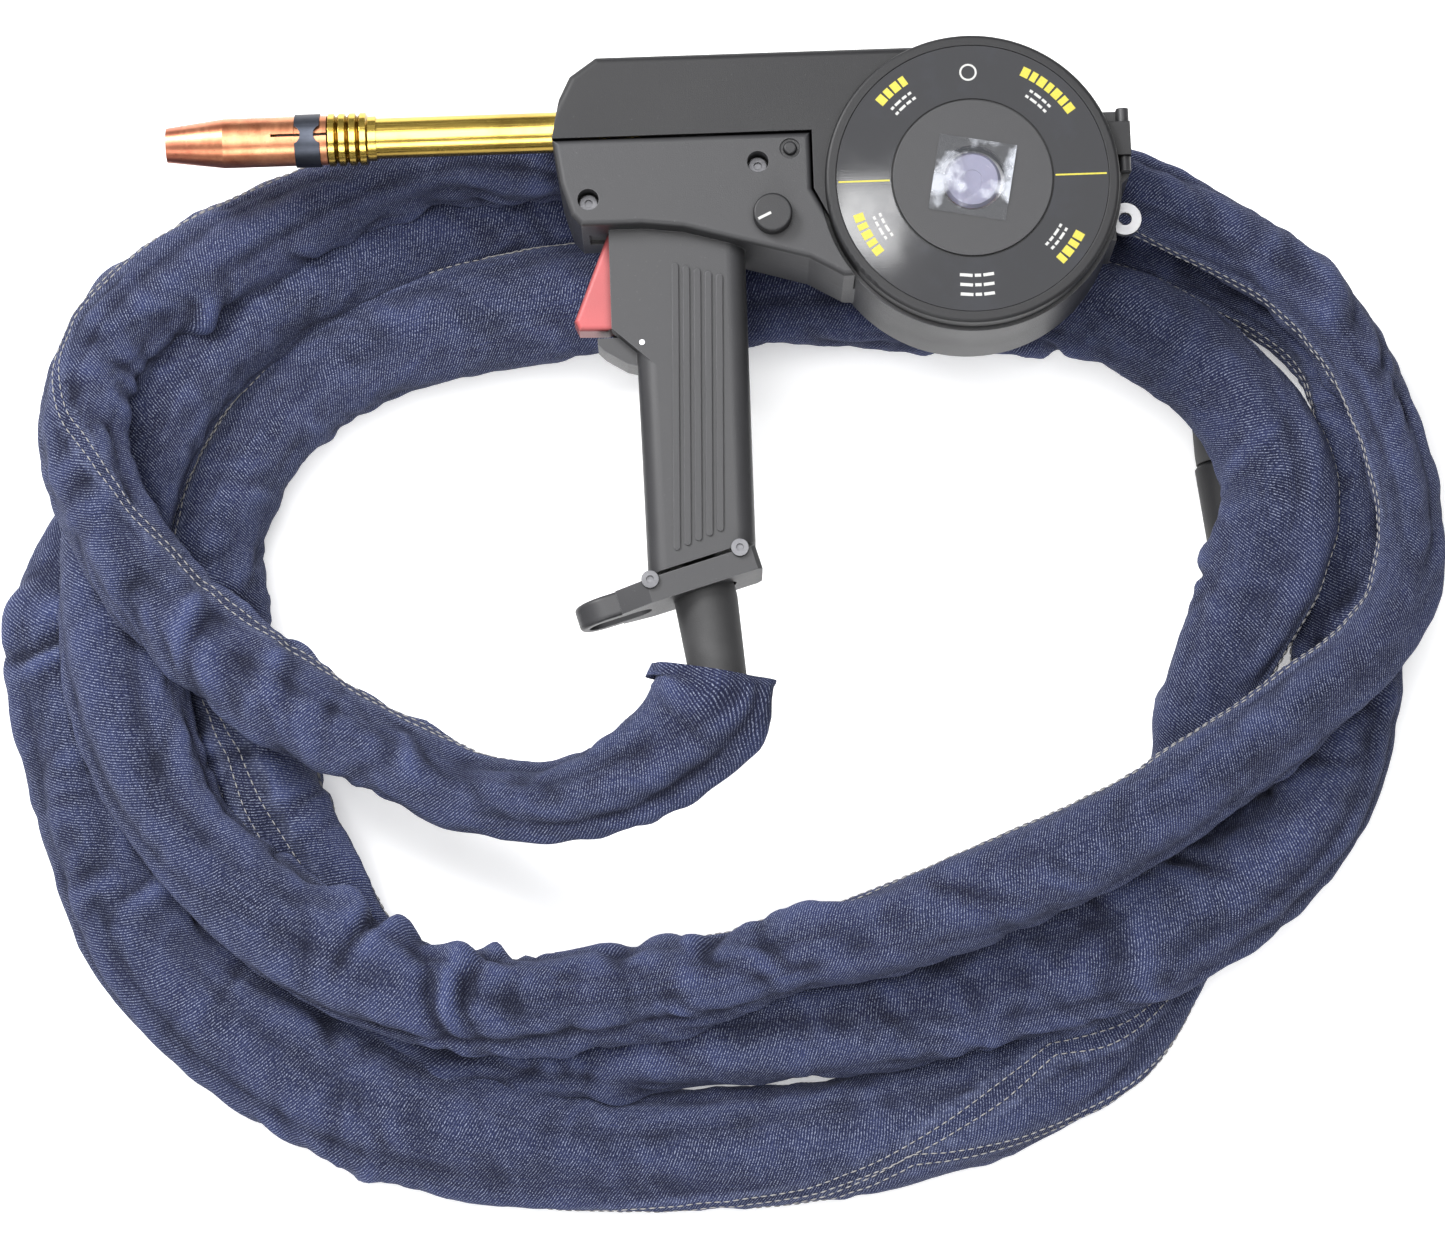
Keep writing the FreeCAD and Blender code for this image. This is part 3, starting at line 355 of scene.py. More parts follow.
def build_materials():
    """Every material, by the name of its look."""
    steel_light, steel_dark = linear(196, 196, 200), linear(112, 112, 118)
    brass_light, brass_dark = linear(240, 206, 104), linear(150, 112, 44)
    return {
        "copper": heat_tinted_copper(),
        "tip_copper": turned_metal("tip_copper", linear(196, 128, 92), linear(110, 64, 44), 0.35),
        "band": turned_metal("blued_band", linear(82, 86, 96), linear(40, 42, 50), 0.42),
        "brass": turned_metal("turned_brass", brass_light, brass_dark, 0.2),
        "steel": turned_metal("zinc_steel", steel_light, steel_dark, 0.34),
        "bright": turned_metal("bright_steel", linear(172, 172, 174), linear(120, 120, 124), 0.42),
        "screw": turned_metal("screw_steel", linear(104, 104, 107), linear(40, 40, 42), 0.42),
        "wire": turned_metal("drawn_wire", linear(176, 160, 142), linear(110, 96, 82), 0.3, (90, 90, 400)),
        "cast": turned_metal("die_casting", linear(150, 152, 156), linear(92, 94, 98), 0.5, (1, 1, 1)),
        "phenolic": moulded_plastic("phenolic", linear(78, 62, 50), linear(110, 92, 78)),
        "shell": moulded_plastic("shell_black", linear(34, 34, 36), linear(92, 92, 94), 0.46),
        "grip": moulded_plastic("grip_black", linear(56, 56, 58), linear(124, 124, 127), 0.4),
        "black": moulded_plastic("matt_black", linear(34, 34, 36), linear(80, 80, 84), 0.55),
        "knob": moulded_plastic("knob_black", linear(40, 40, 42), linear(96, 96, 100), 0.4),
        "trigger": moulded_plastic("trigger_red", linear(170, 82, 84), linear(198, 120, 118), 0.42),
        "disc": polished_disc(),
        "disc_grey": moulded_plastic("disc_grey", linear(56, 56, 58), linear(90, 90, 94), 0.4, 0.0001),
        "film": clear_film(),
        "hub": nylon("pale_nylon", linear(106, 104, 128)),
        "boot": rubber("boot_rubber", linear(50, 50, 51)),
        "lead": rubber("lead_sheath", linear(28, 28, 28), 0.45),
        "denim": denim(),
        "thread": stitch_thread(),
        "yellow": printed_ink("yellow_ink", linear(196, 184, 50)),
        "white": printed_ink("white_ink", linear(190, 190, 188)),
        "floor": pale_floor(),
    }


# The CAD nodes that wear each look.
LOOKS = {
    "copper": ["gas_nozzle"],
    "tip_copper": ["contact_tip"],
    "band": ["nozzle_clamp_band"],
    "phenolic": ["nozzle_insulator"],
    "brass": ["nozzle_adapter", "neck_tube", "gas_diffuser", "current_block", "inlet_guide", "connector_nut",
              "gas_pin", "control_pins"],
    "wire": ["welding_wire", "wound_wire", "wire_liner"],
    "shell": ["spool_door"],
    "grip": ["housing_front", "housing_rear", "grip_plate"],
    "disc": ["door_disc"],
    "disc_grey": ["door_centre_disc"],
    "film": ["spool_window"],
    "steel": ["door_hinge_pin", "friction_washer", "drive_roll", "pressure_roll", "tension_screw",
              "trigger_pivot_pin", "switch_pin", "drive_motor", "speed_potentiometer", "brake_spring",
              "pressure_spring", "trigger_spring"],
    "bright": ["hanging_eye"],
    "screw": ["case_screws", "plate_screws"],
    "black": ["wire_spool", "trigger_switch", "button_switch", "connector_shell"],
    "hub": ["spool_axle", "spool_nut"],
    "cast": ["gearbox", "drive_frame", "pressure_arm"],
    "trigger": ["trigger"],
    "knob": ["speed_knob", "push_button"],
    "boot": ["cable_boot", "connector_strain_relief"],
    "lead": ["power_lead", "torch_lead", "lead_free_end"],
    "denim": ["denim_jacket"],
}


def paint_nodes(materials):
    """Give every CAD node its material, with sharp edges kept sharp."""
    for look, names in LOOKS.items():
        for name in names:
            piece = NODES[name]
            piece.data.materials.clear()
            piece.data.materials.append(materials[look])
            crisp = piece.modifiers.new("crisp_edges", "EDGE_SPLIT")
            crisp.split_angle = math.radians(30)


# ---------------------------------------------------------------- mesh helpers


def new_mesh(name, vertices, faces, material, body, smooth=True):
    """A new piece that rides on a body and takes its finish from a material slot."""
    mesh = bpy.data.meshes.new(name)
    mesh.from_pydata([tuple(v) for v in vertices], [], faces)
    mesh.update()
    if smooth:
        mesh.shade_smooth()
    mesh.materials.append(material)
    made = bpy.data.objects.new(name, mesh)
    bpy.context.scene.collection.objects.link(made)
    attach(made, body)
    return made


def flat_patch(outline, low, thickness):
    """Vertices and faces of a thin plate with the given outline of (x, y) corners."""
    count = len(outline)
    vertices = [(x, y, low) for x, y in outline] + [(x, y, low + thickness) for x, y in outline]
    faces = [tuple(reversed(range(count))), tuple(range(count, 2 * count))]
    for i in range(count):
        following = (i + 1) % count
        faces.append((i, following, following + count, i + count))
    return vertices, faces


def gather(parts):
    """Several vertex and face lists as one."""
    vertices, faces = [], []
    for some_vertices, some_faces in parts:
        start = len(vertices)
        vertices += some_vertices
        faces += [tuple(start + i for i in face) for face in some_faces]
    return vertices, faces


# ---------------------------------------------------------------- print on the lid and the knob


PRINT_Z = 29.93 * MM
INK = 0.08 * MM
LINE_RADIUS = 44.5 * MM
WORD_RADIUS = 49.5 * MM
# Each stand-in for a printed word: its direction from the drum's middle, in degrees, and its count of bars.
WORDS = ((130, 4), (48, 7), (207, 5), (-38, 4))


def polar_bar(angle, radius, width, height):
    """A printed bar about the drum: its middle at the angle and radius, its height along the radius."""
    rise = Vector((math.cos(angle), math.sin(angle), 0))
    run = Vector((-rise.y, rise.x, 0))
    middle = DRUM + rise * radius
    corners = []
    for step, up in ((1, -1), (1, 1), (-1, 1), (-1, -1)):
        corner = middle + run * (step * width / 2) + rise * (up * height / 2)
        corners.append((corner.x, corner.y))
    return flat_patch(corners, PRINT_Z, INK)


def arc_of_bars(middle_deg, radius, widths, height, gap):
    """A row of bars of the given widths round an arc: a stand-in for a printed word."""
    total = sum(widths) + gap * (len(widths) - 1)
    parts = []
    place = -total / 2
    for width in widths:
        angle = math.radians(middle_deg) - (place + width / 2) / radius
        parts.append(polar_bar(angle, radius, width, height))
        place += width + gap
    return parts


def make_disc_print(materials):
    """Plain bars, lines and a ring where the lid's disc is printed."""
    yellow, white = [], []
    for angle in (0.0, math.pi):
        yellow.append(polar_bar(angle, LINE_RADIUS, 0.7 * MM, 21 * MM))
    small_print = [1.5 * MM, 3.2 * MM, 2.2 * MM, 1.6 * MM]
    for middle_deg, count in WORDS:
        widths = [2.6 * MM if i % 2 else 3.4 * MM for i in range(count)]
        yellow += arc_of_bars(middle_deg, WORD_RADIUS, widths, 4.2 * MM, 0.9 * MM)
        for radius in (43.8 * MM, 41.0 * MM):
            white += arc_of_bars(middle_deg, radius, small_print, 1.1 * MM, 0.8 * MM)
    footer = [4.4 * MM, 2.6 * MM, 5.2 * MM]
    for radius in (41.0 * MM, 45.0 * MM, 49.0 * MM):
        white += arc_of_bars(-90, radius, footer, 1.3 * MM, 0.9 * MM)
    white += ring_mark(90, LINE_RADIUS, 3.6 * MM, 0.8 * MM)
    for color, parts in (("yellow", yellow), ("white", white)):
        vertices, faces = gather(parts)
        new_mesh("disc_print_" + color, vertices, faces, materials[color], "door", smooth=False)


def ring_mark(angle_deg, radius, outer, line):
    """A plain printed ring, made of short flat pieces."""
    angle = math.radians(angle_deg)
    middle = DRUM + Vector((math.cos(angle), math.sin(angle), 0)) * radius
    parts = []
    pieces = 24
    for i in range(pieces):
        corners = []
        for turn, reach in ((i, outer - line), (i, outer), (i + 1, outer), (i + 1, outer - line)):
            spot = 2 * math.pi * turn / pieces
            corners.append((middle.x + math.cos(spot) * reach, middle.y + math.sin(spot) * reach))
        parts.append(flat_patch(corners, PRINT_Z, INK))
    return parts


def make_knob_pointer(materials):
    """White pointer line across half of the speed knob's face."""
    low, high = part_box("speed_knob")
    centre = (low + high) / 2
    angle, half_width = math.radians(205), 0.55 * MM
    along = Vector((math.cos(angle), math.sin(angle), 0))
    aside = Vector((-along.y, along.x, 0)) * half_width
    inner, outer = centre + along * 0.8 * MM, centre + along * 6.6 * MM
    corners = [inner - aside, outer - aside, outer + aside, inner + aside]
    vertices, faces = flat_patch([(c.x, c.y) for c in corners], high.z - 0.02 * MM, 0.12 * MM)
    new_mesh("knob_pointer", vertices, faces, materials["white"], "knob", smooth=False)


# ---------------------------------------------------------------- springs


def make_soft_spring(node, materials):
    """A copy of a coil spring with its own mesh and the steel finish, riding on the torch in place of the
    hidden CAD spring.
    """
    spring = bpy.data.objects.new(node + "_coil", NODES[node].data.copy())
    bpy.context.scene.collection.objects.link(spring)
    spring.data.materials.clear()
    spring.data.materials.append(materials["steel"])
    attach(spring, "torch")
    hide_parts(node)
    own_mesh(spring)


def make_soft_springs(materials):
    """The trigger's spring ends on its switch, and the pressure arm's on the head of the screw."""
    make_soft_spring("trigger_spring", materials)
    make_soft_spring("pressure_spring", materials)


# ---------------------------------------------------------------- denim jacket

# The middle of the jacket from the boot to its far end, in millimetres, with half its laid width.
LAY = [
    (222, -230, 0, 23), (219, -241, -1, 23), (202, -257, -9, 20), (177, -271, -15, 16),
    (147, -277, -19, 14), (112, -270, -22, 14), (80, -254, -25, 16), (48, -236, -28, 19),
    (11, -209, -29, 19), (-18, -177, -29, 18), (-37, -140, -28, 17), (-43, -107, -31, 16),
    (-30, -76, -36, 18), (-3, -50, -40, 19), (35, -28, -42, 17), (81, -10, -42, 15), (128, -2, -42, 15),
    (196, -2, -42, 16), (273, -4, -43, 16), (341, -9, -45, 16), (396, -21, -46, 17),
    (430, -36, -46, 16), (471, -62, -46, 15), (495, -95, -46, 14), (508, -129, -46, 13),
    (514, -162, -44, 12), (511, -195, -40, 13), (495, -223, -34, 14), (467, -246, -31, 17),
    (430, -273, -30, 19), (386, -298, -30, 19), (335, -318, -32, 18), (285, -336, -36, 16),
    (239, -346, -42, 15), (202, -353, -45, 17), (152, -358, -46, 19), (106, -356, -46, 21),
    (63, -340, -46, 24), (26, -314, -47, 23), (-1, -286, -49, 21), (-17, -257, -50, 23),
    (-27, -225, -51, 24), (-31, -191, -52, 23), (-30, -157, -53, 22), (-19, -119, -54, 22),
    (4, -85, -52, 20), (43, -53, -56, 20), (90, -33, -62, 21), (144, -22, -67, 22), (221, -19, -70, 22),
    (308, -20, -70.5, 19), (381, -30, -70.5, 15), (429, -51, -70.5, 13), (465, -71, -70, 12),
    (488, -94, -69, 13), (496, -125, -67, 15), (491, -160, -65, 18), (487, -195, -62, 21),
    (488, -227, -60, 23), (484, -259, -58, 22), (468, -293, -56, 22), (437, -319, -54, 24),
    (398, -339, -53, 25), (352, -353, -53, 25), (293, -365, -56, 25), (234, -373, -60, 23),
    (167, -375, -66, 20), (109, -367, -70, 19), (69, -343, -71, 22), (43, -306, -71, 25),
    (30, -276, -71, 25), (23, -246, -71, 22), (16, -215, -71, 20), (10, -181, -71, 20),
    (14, -146, -71, 19), (35, -110, -66, 19), (69, -82, -61, 21), (116, -66, -60, 22),
    (177, -57, -60, 23), (246, -57, -60, 23), (315, -61, -60, 21), (375, -67, -57, 20),
    (412, -84, -50, 23), (443, -113, -46, 24), (459, -149, -45, 25), (454, -183, -45, 24),
    (441, -213, -48, 22), (428, -243, -55, 20), (421, -277, -64, 19), (414, -315, -71, 18),
    (399, -352, -71, 20), (377, -381, -71, 22), (338, -400, -71, 23), (292, -412, -71, 24),
    (249, -418, -71, 24), (208, -420, -71, 24), (162, -418, -71, 24), (108, -408, -71, 25),
    (54, -389, -71, 26), (7, -360, -71, 25), (-24, -327, -71, 22), (-41, -290, -71, 20),
    (-51, -256, -71, 19), (-57, -221, -71, 19), (-59, -189, -71, 19), (-50, -159, -71, 17),
    (-33, -136, -71, 16),
]
# Where each of the two seams lies round the jacket, in degrees: 0 is the coil's outer side, 90 the top and
# 180 the inner side. The first number of each pair is a place on the lay, counted in its points.
SEAMS = [
    [(0, 225), (4, 205), (5, 172), (6, 160), (8, 150), (9, 146), (10.6, 95), (12, 22), (15, 16), (18, 90),
     (21, 166), (24, 163), (27, 158), (32, 160), (33.5, 182), (35, 215), (49, 200), (52, 160), (57, 155),
     (59, 200), (66, 200), (68, 120), (69, 95), (71, 78), (73, 38), (75, 24), (78, 10), (83, -20), (90, 60),
     (91.5, 105), (92.5, 80), (94, 36), (95.5, 14), (97, -20), (106, -60)],
    [(0, 272), (65, 272), (67, 190), (68, 170), (70, 165), (71.5, 185), (73, 255), (86, 300), (90, 360),
     (91, 378), (92, 392), (93, 415), (94, 372), (96, 300), (106, 260)],
]
RING_STEP = 2.2 * MM
AROUND = 72
CLOTH_GIRTH = 116 * MM
CLOTH_RADIUS = CLOTH_GIRTH / (2 * np.pi)
# An ellipse has the powers 1 and 1. Lower ones fill out the sides and the top of the jacket's cross-section.
SIDE_POWER, TOP_POWER = 0.82, 0.9
SEAM_HALF = 5.2 * MM
STITCH_OFFSET = 1.9 * MM
STITCH_PITCH = 3.9 * MM
STITCH_LENGTH = 2.8 * MM
STITCH_RADIUS = 0.3 * MM
STITCH_SIDES = 6


def curve_through(points, step):
    """Even steps along a smooth curve through the points.

    Returns the places, their directions, each place's count of points and its distance from the start."""
    before = 2 * points[0] - points[1]
    after = 2 * points[-1] - points[-2]
    padded = np.vstack([before, points, after])
    fine = []
    marks = []
    per_span = 40
    for i in range(len(points) - 1):
        p0, p1, p2, p3 = padded[i:i + 4]
        for t in np.arange(per_span) / per_span:
            blend = (2 * p1 + (p2 - p0) * t + (2 * p0 - 5 * p1 + 4 * p2 - p3) * t**2
                     + (3 * p1 - p0 - 3 * p2 + p3) * t**3) / 2
            fine.append(blend)
            marks.append(i + t)
    fine.append(points[-1])
    marks.append(len(points) - 1)
    fine, marks = np.array(fine), np.array(marks)
    for _ in range(12):
        fine[1:-1] = (fine[:-2] + 2 * fine[1:-1] + fine[2:]) / 4
    length = np.r_[0, np.cumsum(np.linalg.norm(np.diff(fine[:, :3], axis=0), axis=1))]
    even = np.linspace(0, length[-1], int(length[-1] / step) + 1)
    places = np.column_stack([np.interp(even, length, fine[:, k]) for k in range(fine.shape[1])])
    along = np.gradient(places[:, :3], axis=0)
    along /= np.linalg.norm(along, axis=1)[:, None]
    return places, along, np.interp(even, length, marks), even


def side_and_up(along):
    """Level and upright unit vectors across each direction."""
    side = np.cross([0, 0, 1.0], along)
    side /= np.linalg.norm(side, axis=1)[:, None]
    return side, np.cross(along, side)


def noise_at(points, seed):
    """Smooth noise of about -1..1 at each row of points."""
    shift = Vector((seed * 13.7, seed * 7.1, seed * 3.3))
    return np.array([noise.noise(Vector(p) + shift) for p in points])


def ridges(points, seed):
    """Sharp-topped creases: highest where the noise crosses zero."""
    return 1 - 2 * np.abs(noise_at(points, seed))


def lobes(points, seed):
    """Soft round lobes with sharp valleys between them, about -0.5..1."""
    return 3 * np.abs(noise_at(points, seed)) - 0.5


def seam_angle(seam, marks):
    """Where the seam lies round the jacket at each place."""
    stations, degrees = np.array(seam).T
    return np.radians(np.interp(marks, stations, degrees))


def jacket_rings():
    """Every ring of the laid jacket, as an array of rings x points around x 3, with what its folds need."""
    places, along, marks, even = curve_through(np.array(LAY, float) * MM, RING_STEP)
    side, up = side_and_up(along)
    width = places[:, 3]
    height = np.interp(width, [12 * MM, 18 * MM, 25 * MM], [12 * MM, 11 * MM, 9.5 * MM])
    at_the_mouth = marks < 1.5
    height = np.where(at_the_mouth, 14 * MM, height)
    bend = np.gradient(along, axis=0) / RING_STEP
    inward = np.einsum("ij,ij->i", bend, -side)  # how sharply it bends towards its inner side, per metre
    angle = 2 * np.pi * np.arange(AROUND) / AROUND
    rings = np.empty((len(places), AROUND, 3))
    for j, a in enumerate(angle):
        wide = np.sign(np.cos(a)) * abs(np.cos(a)) ** SIDE_POWER
        high = np.sign(np.sin(a)) * abs(np.sin(a)) ** TOP_POWER
        rings[:, j] = places[:, :3] + side * (wide * width)[:, None] + up * (high * height)[:, None]
    return rings, marks, even, angle, side, up, inward


def fold_heights(even, angle, inward):
    """How far each jacket point stands in or out: long lobes, slanting drags, and puckers at bends.

    Square brackets hold how often a fold repeats along and round the jacket, per metre of cloth, and the number
    after each fold is its height in millimetres."""
    u, about = np.meshgrid(even, angle, indexing="ij")
    across, above = np.cos(about) * CLOTH_RADIUS, np.sin(about) * CLOTH_RADIUS
    spots = np.column_stack([u.ravel(), across.ravel(), above.ravel()])
    slanting = spots.copy()
    slanting[:, 1] += spots[:, 0] * 0.6
    crossing = spots.copy()
    crossing[:, 2] -= spots[:, 0] * 0.8
    facing_in = (1 - np.cos(about)) / 2
    sharpest_bend = 9.0
    bent = np.clip(np.abs(inward) / sharpest_bend, 0, 1)[:, None] * (0.35 + 0.65 * facing_in)
    patches = np.clip(noise_at(spots * [9, 14, 14], 5) * 1.9 + 0.1, 0, 1)
    crumpled = np.clip(0.9 * bent.ravel() * (0.3 + patches) + 0.35 * patches, 0, 1)
    wander = noise_at(spots * [34, 34, 34], 8) * 0.016
    curled = slanting.copy()
    curled[:, 0] += wander
    curled[:, 1] += wander * 0.7
    uneven = noise_at(spots * [9, 28, 28], 2) * 4.6
    long_lobes = lobes(spots * [6, 46, 46], 1) * 2.6 * (1 - 0.5 * crumpled)
    drags = lobes(curled * [13, 48, 48], 3) * 2.8 * (0.25 + 0.75 * patches)
    counter_drags = ridges(crossing * [17, 80, 80], 6) * 0.8
    puckers = lobes(curled * [44, 30, 30], 4) * 4.0 * crumpled
    fine = noise_at(spots * [120, 120, 120], 7) * 0.6 * crumpled
    total = (uneven + long_lobes + drags + counter_drags + puckers + fine) * MM
    return total.reshape(u.shape)


def wrap(turn):
    """The same turn, between minus and plus half a circle."""
    return (turn + np.pi) % (2 * np.pi) - np.pi


def from_seam(seam, marks, angle):
    """How far each jacket point lies from the middle of the seam, round the jacket."""
    middle = seam_angle(seam, marks)
    return np.abs(wrap(angle[None, :] - middle[:, None])) * CLOTH_RADIUS


def add_seams(heights, marks, angle):
    """Raise a flat felled ridge along each seam, and calm the folds that cross it."""
    slope_width, rise, calm = 1.2 * MM, 1.1 * MM, 0.55
    for seam in SEAMS:
        band = np.clip((SEAM_HALF - from_seam(seam, marks, angle)) / slope_width, 0, 1)
        heights = heights * (1 - calm * band) + band * rise
    return heights


def seam_edges(marks, angle):
    """1 on the rubbed edges of the seams and 0 away from them."""
    rubbed, reach = 3.8 * MM, 1.8 * MM
    masks = [np.clip(1 - np.abs(from_seam(seam, marks, angle) - rubbed) / reach, 0, 1) for seam in SEAMS]
    return np.maximum(*masks)


def relief(heights):
    """Where each point stands against the cloth around it: 0 in a crease, a half when level, 1 on a ridge."""
    passes, full_span = 14, 4.2 * MM
    around = heights.copy()
    for _ in range(passes):
        around = (np.roll(around, 1, axis=1) + 2 * around + np.roll(around, -1, axis=1)) / 4
        around[1:-1] = (around[:-2] + 2 * around[1:-1] + around[2:]) / 4
    return np.clip(0.5 + (heights - around) / full_span, 0, 1)


def store_values(mesh, name, values):
    """Keep one value at each point of the mesh, for its material to read."""
    layer = mesh.attributes.new(name, "FLOAT", "POINT")
    layer.data.foreach_set("value", values.astype(np.float32).ravel())


def outward(side, up, angle):
    """Unit vectors that point out of the jacket at each of its points."""
    facing = np.cos(angle)[None, :, None] * side[:, None, :] + np.sin(angle)[None, :, None] * up[:, None, :]
    return facing / np.linalg.norm(facing, axis=2)[:, :, None]


def ring_faces(count, around):
    """The faces of a tube made of a count of rings, each of the same number of points."""
    faces = []
    for i in range(count - 1):
        for j in range(around):
            k = (j + 1) % around
            faces.append((i * around + j, i * around + k, (i + 1) * around + k, (i + 1) * around + j))
    return faces


def set_cloth_uv(mesh, even, around):
    """UV in metres of cloth: u along the jacket and v round it."""
    layer = mesh.uv_layers.new(name="cloth")
    step = CLOTH_GIRTH / around
    for polygon in mesh.polygons:
        for corner, loop in enumerate(polygon.loop_indices):
            ring, spot = divmod(mesh.loops[loop].vertex_index, around)
            if spot == 0 and corner in (1, 2):
                spot = around
            layer.data[loop].uv = (even[min(ring, len(even) - 1)], spot * step)


def stitch_rows(rings, marks):
    """Small raised threads, laid in two rows along each seam."""
    lift = 0.25 * MM
    vertices, faces = [], []
    row = np.arange(len(rings))
    for seam in SEAMS:
        middle = seam_angle(seam, marks)
        for offset in (-STITCH_OFFSET, STITCH_OFFSET):
            turn = middle + offset / CLOTH_RADIUS
            spot = (turn / (2 * np.pi) * AROUND) % AROUND
            low = np.floor(spot).astype(int) % AROUND
            share = (spot - np.floor(spot))[:, None]
            line = rings[row, low] * (1 - share) + rings[row, (low + 1) % AROUND] * share
            line = line + line_normals(rings, row, low) * lift
            run = np.r_[0, np.cumsum(np.linalg.norm(np.diff(line, axis=0), axis=1))]
            for start in np.arange(STITCH_PITCH, run[-1] - STITCH_PITCH, STITCH_PITCH):
                stops = start + np.linspace(0, STITCH_LENGTH, 4)
                path = np.column_stack([np.interp(stops, run, line[:, k]) for k in range(3)])
                add_thread(vertices, faces, path)
    return vertices, faces


def line_normals(rings, row, low):
    """Unit vectors out of the cloth at the point numbered low of each ring."""
    around = rings[row, (low + 1) % AROUND] - rings[row, low]
    ahead = np.gradient(rings, axis=0)[row, low]
    normal = np.cross(around, ahead)
    return normal / np.maximum(np.linalg.norm(normal, axis=1), 1e-9)[:, None]


def add_thread(vertices, faces, path):
    """One stitch: a short thread, thin at both ends."""
    sides = STITCH_SIDES
    along = path[-1] - path[0]
    along /= max(np.linalg.norm(along), 1e-9)
    aside = np.cross(along, [0.3, 0.2, 0.93])
    aside /= np.linalg.norm(aside)
    over = np.cross(aside, along)
    first = len(vertices)
    for point, share in zip(path, (0.35, 1.0, 1.0, 0.35)):
        for k in range(sides):
            turn = 2 * math.pi * k / sides
            out = aside * math.cos(turn) + over * math.sin(turn)
            vertices.append(tuple(point + out * STITCH_RADIUS * share))
    for i in range(len(path) - 1):
        for k in range(sides):
            j = (k + 1) % sides
            faces.append((first + i * sides + k, first + i * sides + j,
                          first + (i + 1) * sides + j, first + (i + 1) * sides + k))
    faces.append(tuple(first + k for k in reversed(range(sides))))
    faces.append(tuple(first + (len(path) - 1) * sides + k for k in range(sides)))


def make_jacket(materials):
    """The jacket's cloth, its stitches and its two hems, in place of the plain CAD jacket."""
    rings, marks, even, angle, side, up, inward = jacket_rings()
    heights = add_seams(fold_heights(even, angle, inward), marks, angle)
    out = outward(side, up, angle)
    rings = rings + out * heights[:, :, None]
    lowest = FLOOR_Z + 0.8 * MM
    rings[:, :, 2] = np.maximum(rings[:, :, 2], lowest)
    count = len(rings)
    vertices = rings.reshape(-1, 3)
    faces = ring_faces(count, AROUND)
    jacket = new_mesh("jacket_cloth", vertices, faces, materials["denim"], "torch")
    set_cloth_uv(jacket.data, even, AROUND)
    # The relief drives the cloth's painted highlight on ridges and painted shade in creases.
    store_values(jacket.data, "relief", relief(heights))
    store_values(jacket.data, "seam_edge", seam_edges(marks, angle))
    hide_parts("denim_jacket")
    stitch_vertices, stitch_faces = stitch_rows(rings, marks)
    new_mesh("jacket_stitches", stitch_vertices, stitch_faces, materials["thread"], "torch")
    for label, ring, inwards in (("jacket_mouth", 0, 1), ("jacket_far_mouth", count - 1, -1)):
        make_hem(label, rings, ring, inwards, materials)


def make_hem(label, rings, ring, inwards, materials):
    """The turned-in cloth edge at one end of the jacket."""
    layers = [rings[ring]]
    for depth, shrink in ((0, 0.95), (3, 0.9), (7, 0.88), (10, 0.86)):
        source = rings[ring + inwards * depth]
        centre = source.mean(axis=0)
        layers.append(centre + (source - centre) * shrink)
    vertices = np.concatenate(layers)
    hem = new_mesh(label, vertices, ring_faces(len(layers), AROUND), materials["denim"], "torch")
    set_cloth_uv(hem.data, np.arange(len(layers)) * 3 * MM, AROUND)
    # A relief under a half paints shade on the turned-in cloth.
    store_values(hem.data, "relief", np.full(len(vertices), 0.3))


# ---------------------------------------------------------------- room, lights and camera


def make_floor(materials):
    mesh = bpy.data.meshes.new("floor")
    reach, low = 6.0, FLOOR_Z
    corners = [(-reach, -reach, low), (reach, -reach, low), (reach, reach, low), (-reach, reach, low)]
    mesh.from_pydata(corners, [], [(0, 1, 2, 3)])
    mesh.materials.append(materials["floor"])
    floor = bpy.data.objects.new("floor", mesh)
    bpy.context.scene.collection.objects.link(floor)


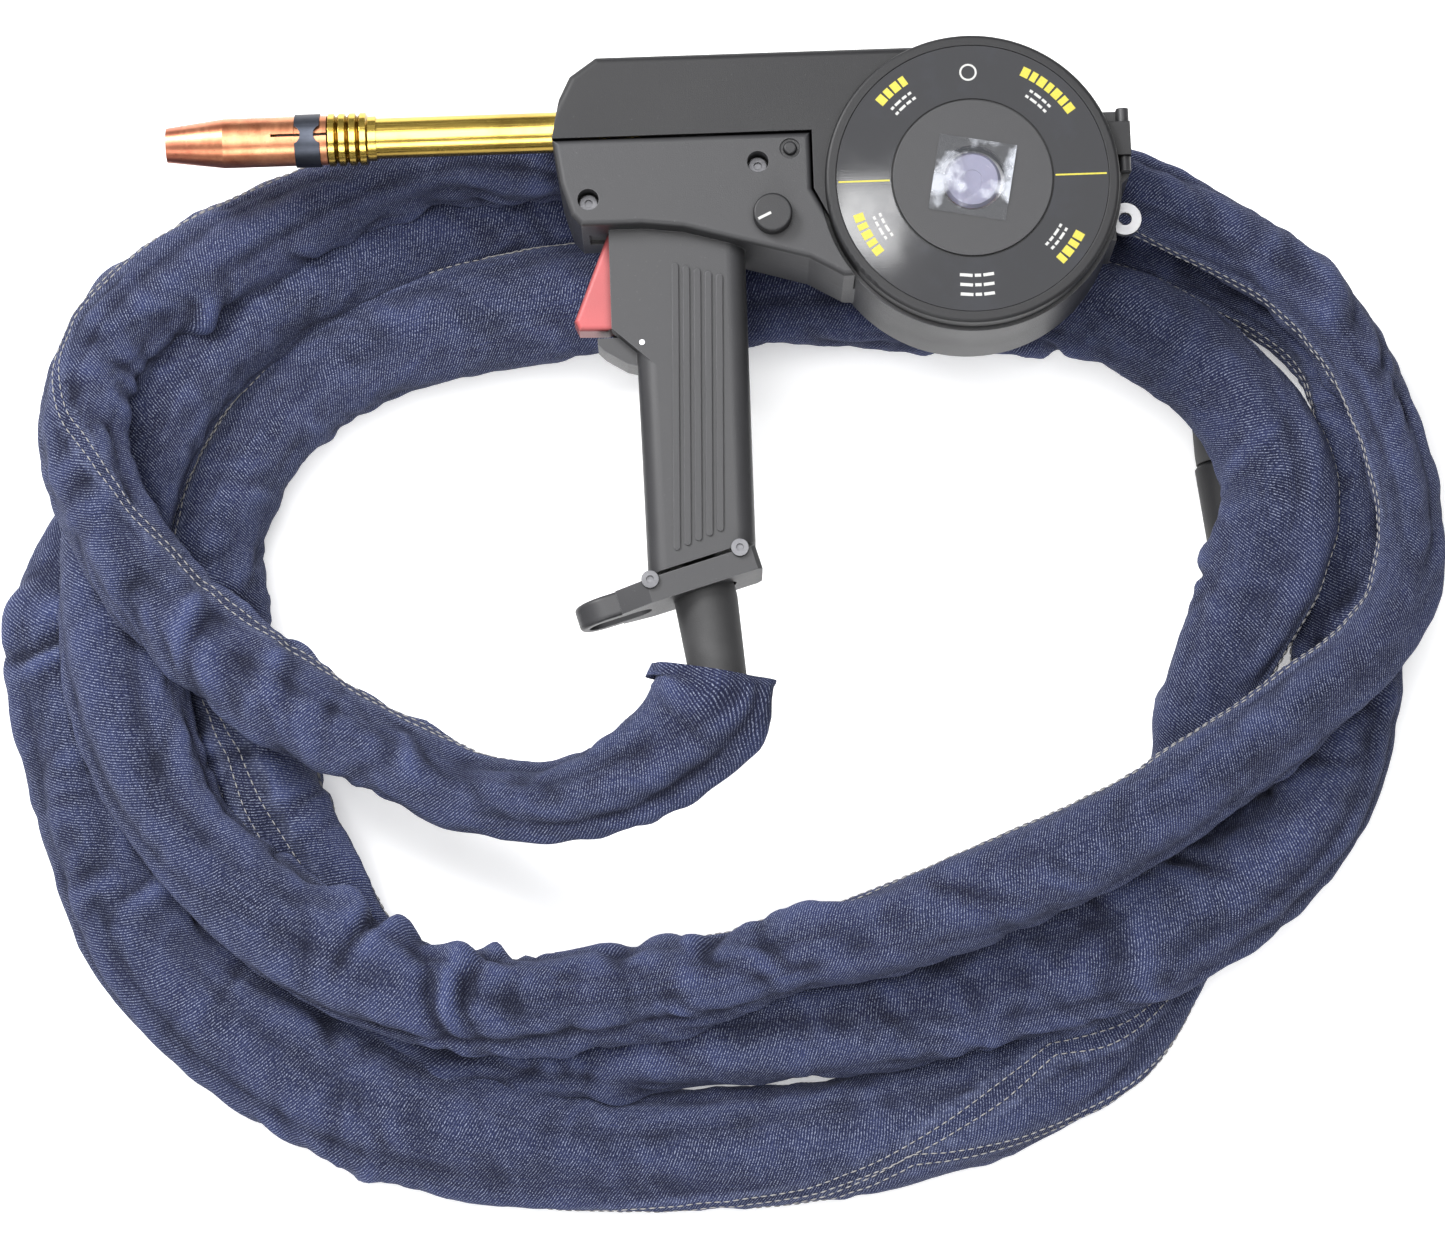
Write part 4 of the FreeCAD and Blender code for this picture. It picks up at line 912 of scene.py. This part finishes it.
def add_area(name, where, aim, size, power):
    light = bpy.data.lights.new(name, "AREA")
    light.shape = "RECTANGLE"
    light.size, light.size_y = size
    light.energy = power
    lamp = bpy.data.objects.new(name, light)
    lamp.location = where
    lamp.rotation_euler = (Vector(aim) - Vector(where)).to_track_quat("-Z", "Y").to_euler()
    bpy.context.scene.collection.objects.link(lamp)


def make_lights():
    """Three soft lamps, a small one that glints on the lid's disc, and a pale room."""
    middle = (0.22, -0.2, -0.05)
    add_area("key", (-0.9, 0.9, 1.5), middle, (0.8, 0.8), 56)
    add_area("top", (0.1, 0.0, 2.4), middle, (1.6, 1.6), 44)
    add_area("front", (-0.1, -1.7, 1.2), middle, (1.2, 0.7), 18)
    add_area("glint", (0.382, 0.509, 2.3), (0.301, -0.062, 0.03), (0.06, 0.07), 0.5)
    world = bpy.data.worlds.new("room")
    world.use_nodes = True
    background = world.node_tree.nodes["Background"]
    background.inputs["Color"].default_value = (1.0, 1.0, 1.0, 1.0)
    background.inputs["Strength"].default_value = 0.22
    bpy.context.scene.world = world
    bpy.context.scene.view_settings.view_transform = "Standard"


def make_camera():
    """Nearly straight down from the near side, turned two degrees."""
    elevation, roll = math.radians(81), math.radians(2)
    distance, sensor = 1.9, 36.0
    seen_width = 592.45 * MM
    target = Vector((224.4, -206.8, 0)) * MM
    right = Vector((math.cos(roll), -math.sin(roll), 0))
    ahead = Vector((math.sin(roll), math.cos(roll), 0))
    back = -ahead * math.cos(elevation) + Vector((0, 0, math.sin(elevation)))
    up = ahead * math.sin(elevation) + Vector((0, 0, math.cos(elevation)))
    data = bpy.data.cameras.new("photo_view")
    data.sensor_fit = "HORIZONTAL"
    data.sensor_width = sensor
    data.lens = sensor * distance / seen_width
    data.clip_start, data.clip_end = 0.05, 20
    camera = bpy.data.objects.new("photo_view", data)
    camera.matrix_world = Matrix((right, up, back)).transposed().to_4x4()
    camera.location = target + back * distance
    bpy.context.scene.collection.objects.link(camera)
    bpy.context.scene.camera = camera


MATERIALS = build_materials()
paint_nodes(MATERIALS)
make_disc_print(MATERIALS)
make_knob_pointer(MATERIALS)
make_soft_springs(MATERIALS)
make_jacket(MATERIALS)
make_floor(MATERIALS)
make_lights()
make_camera()
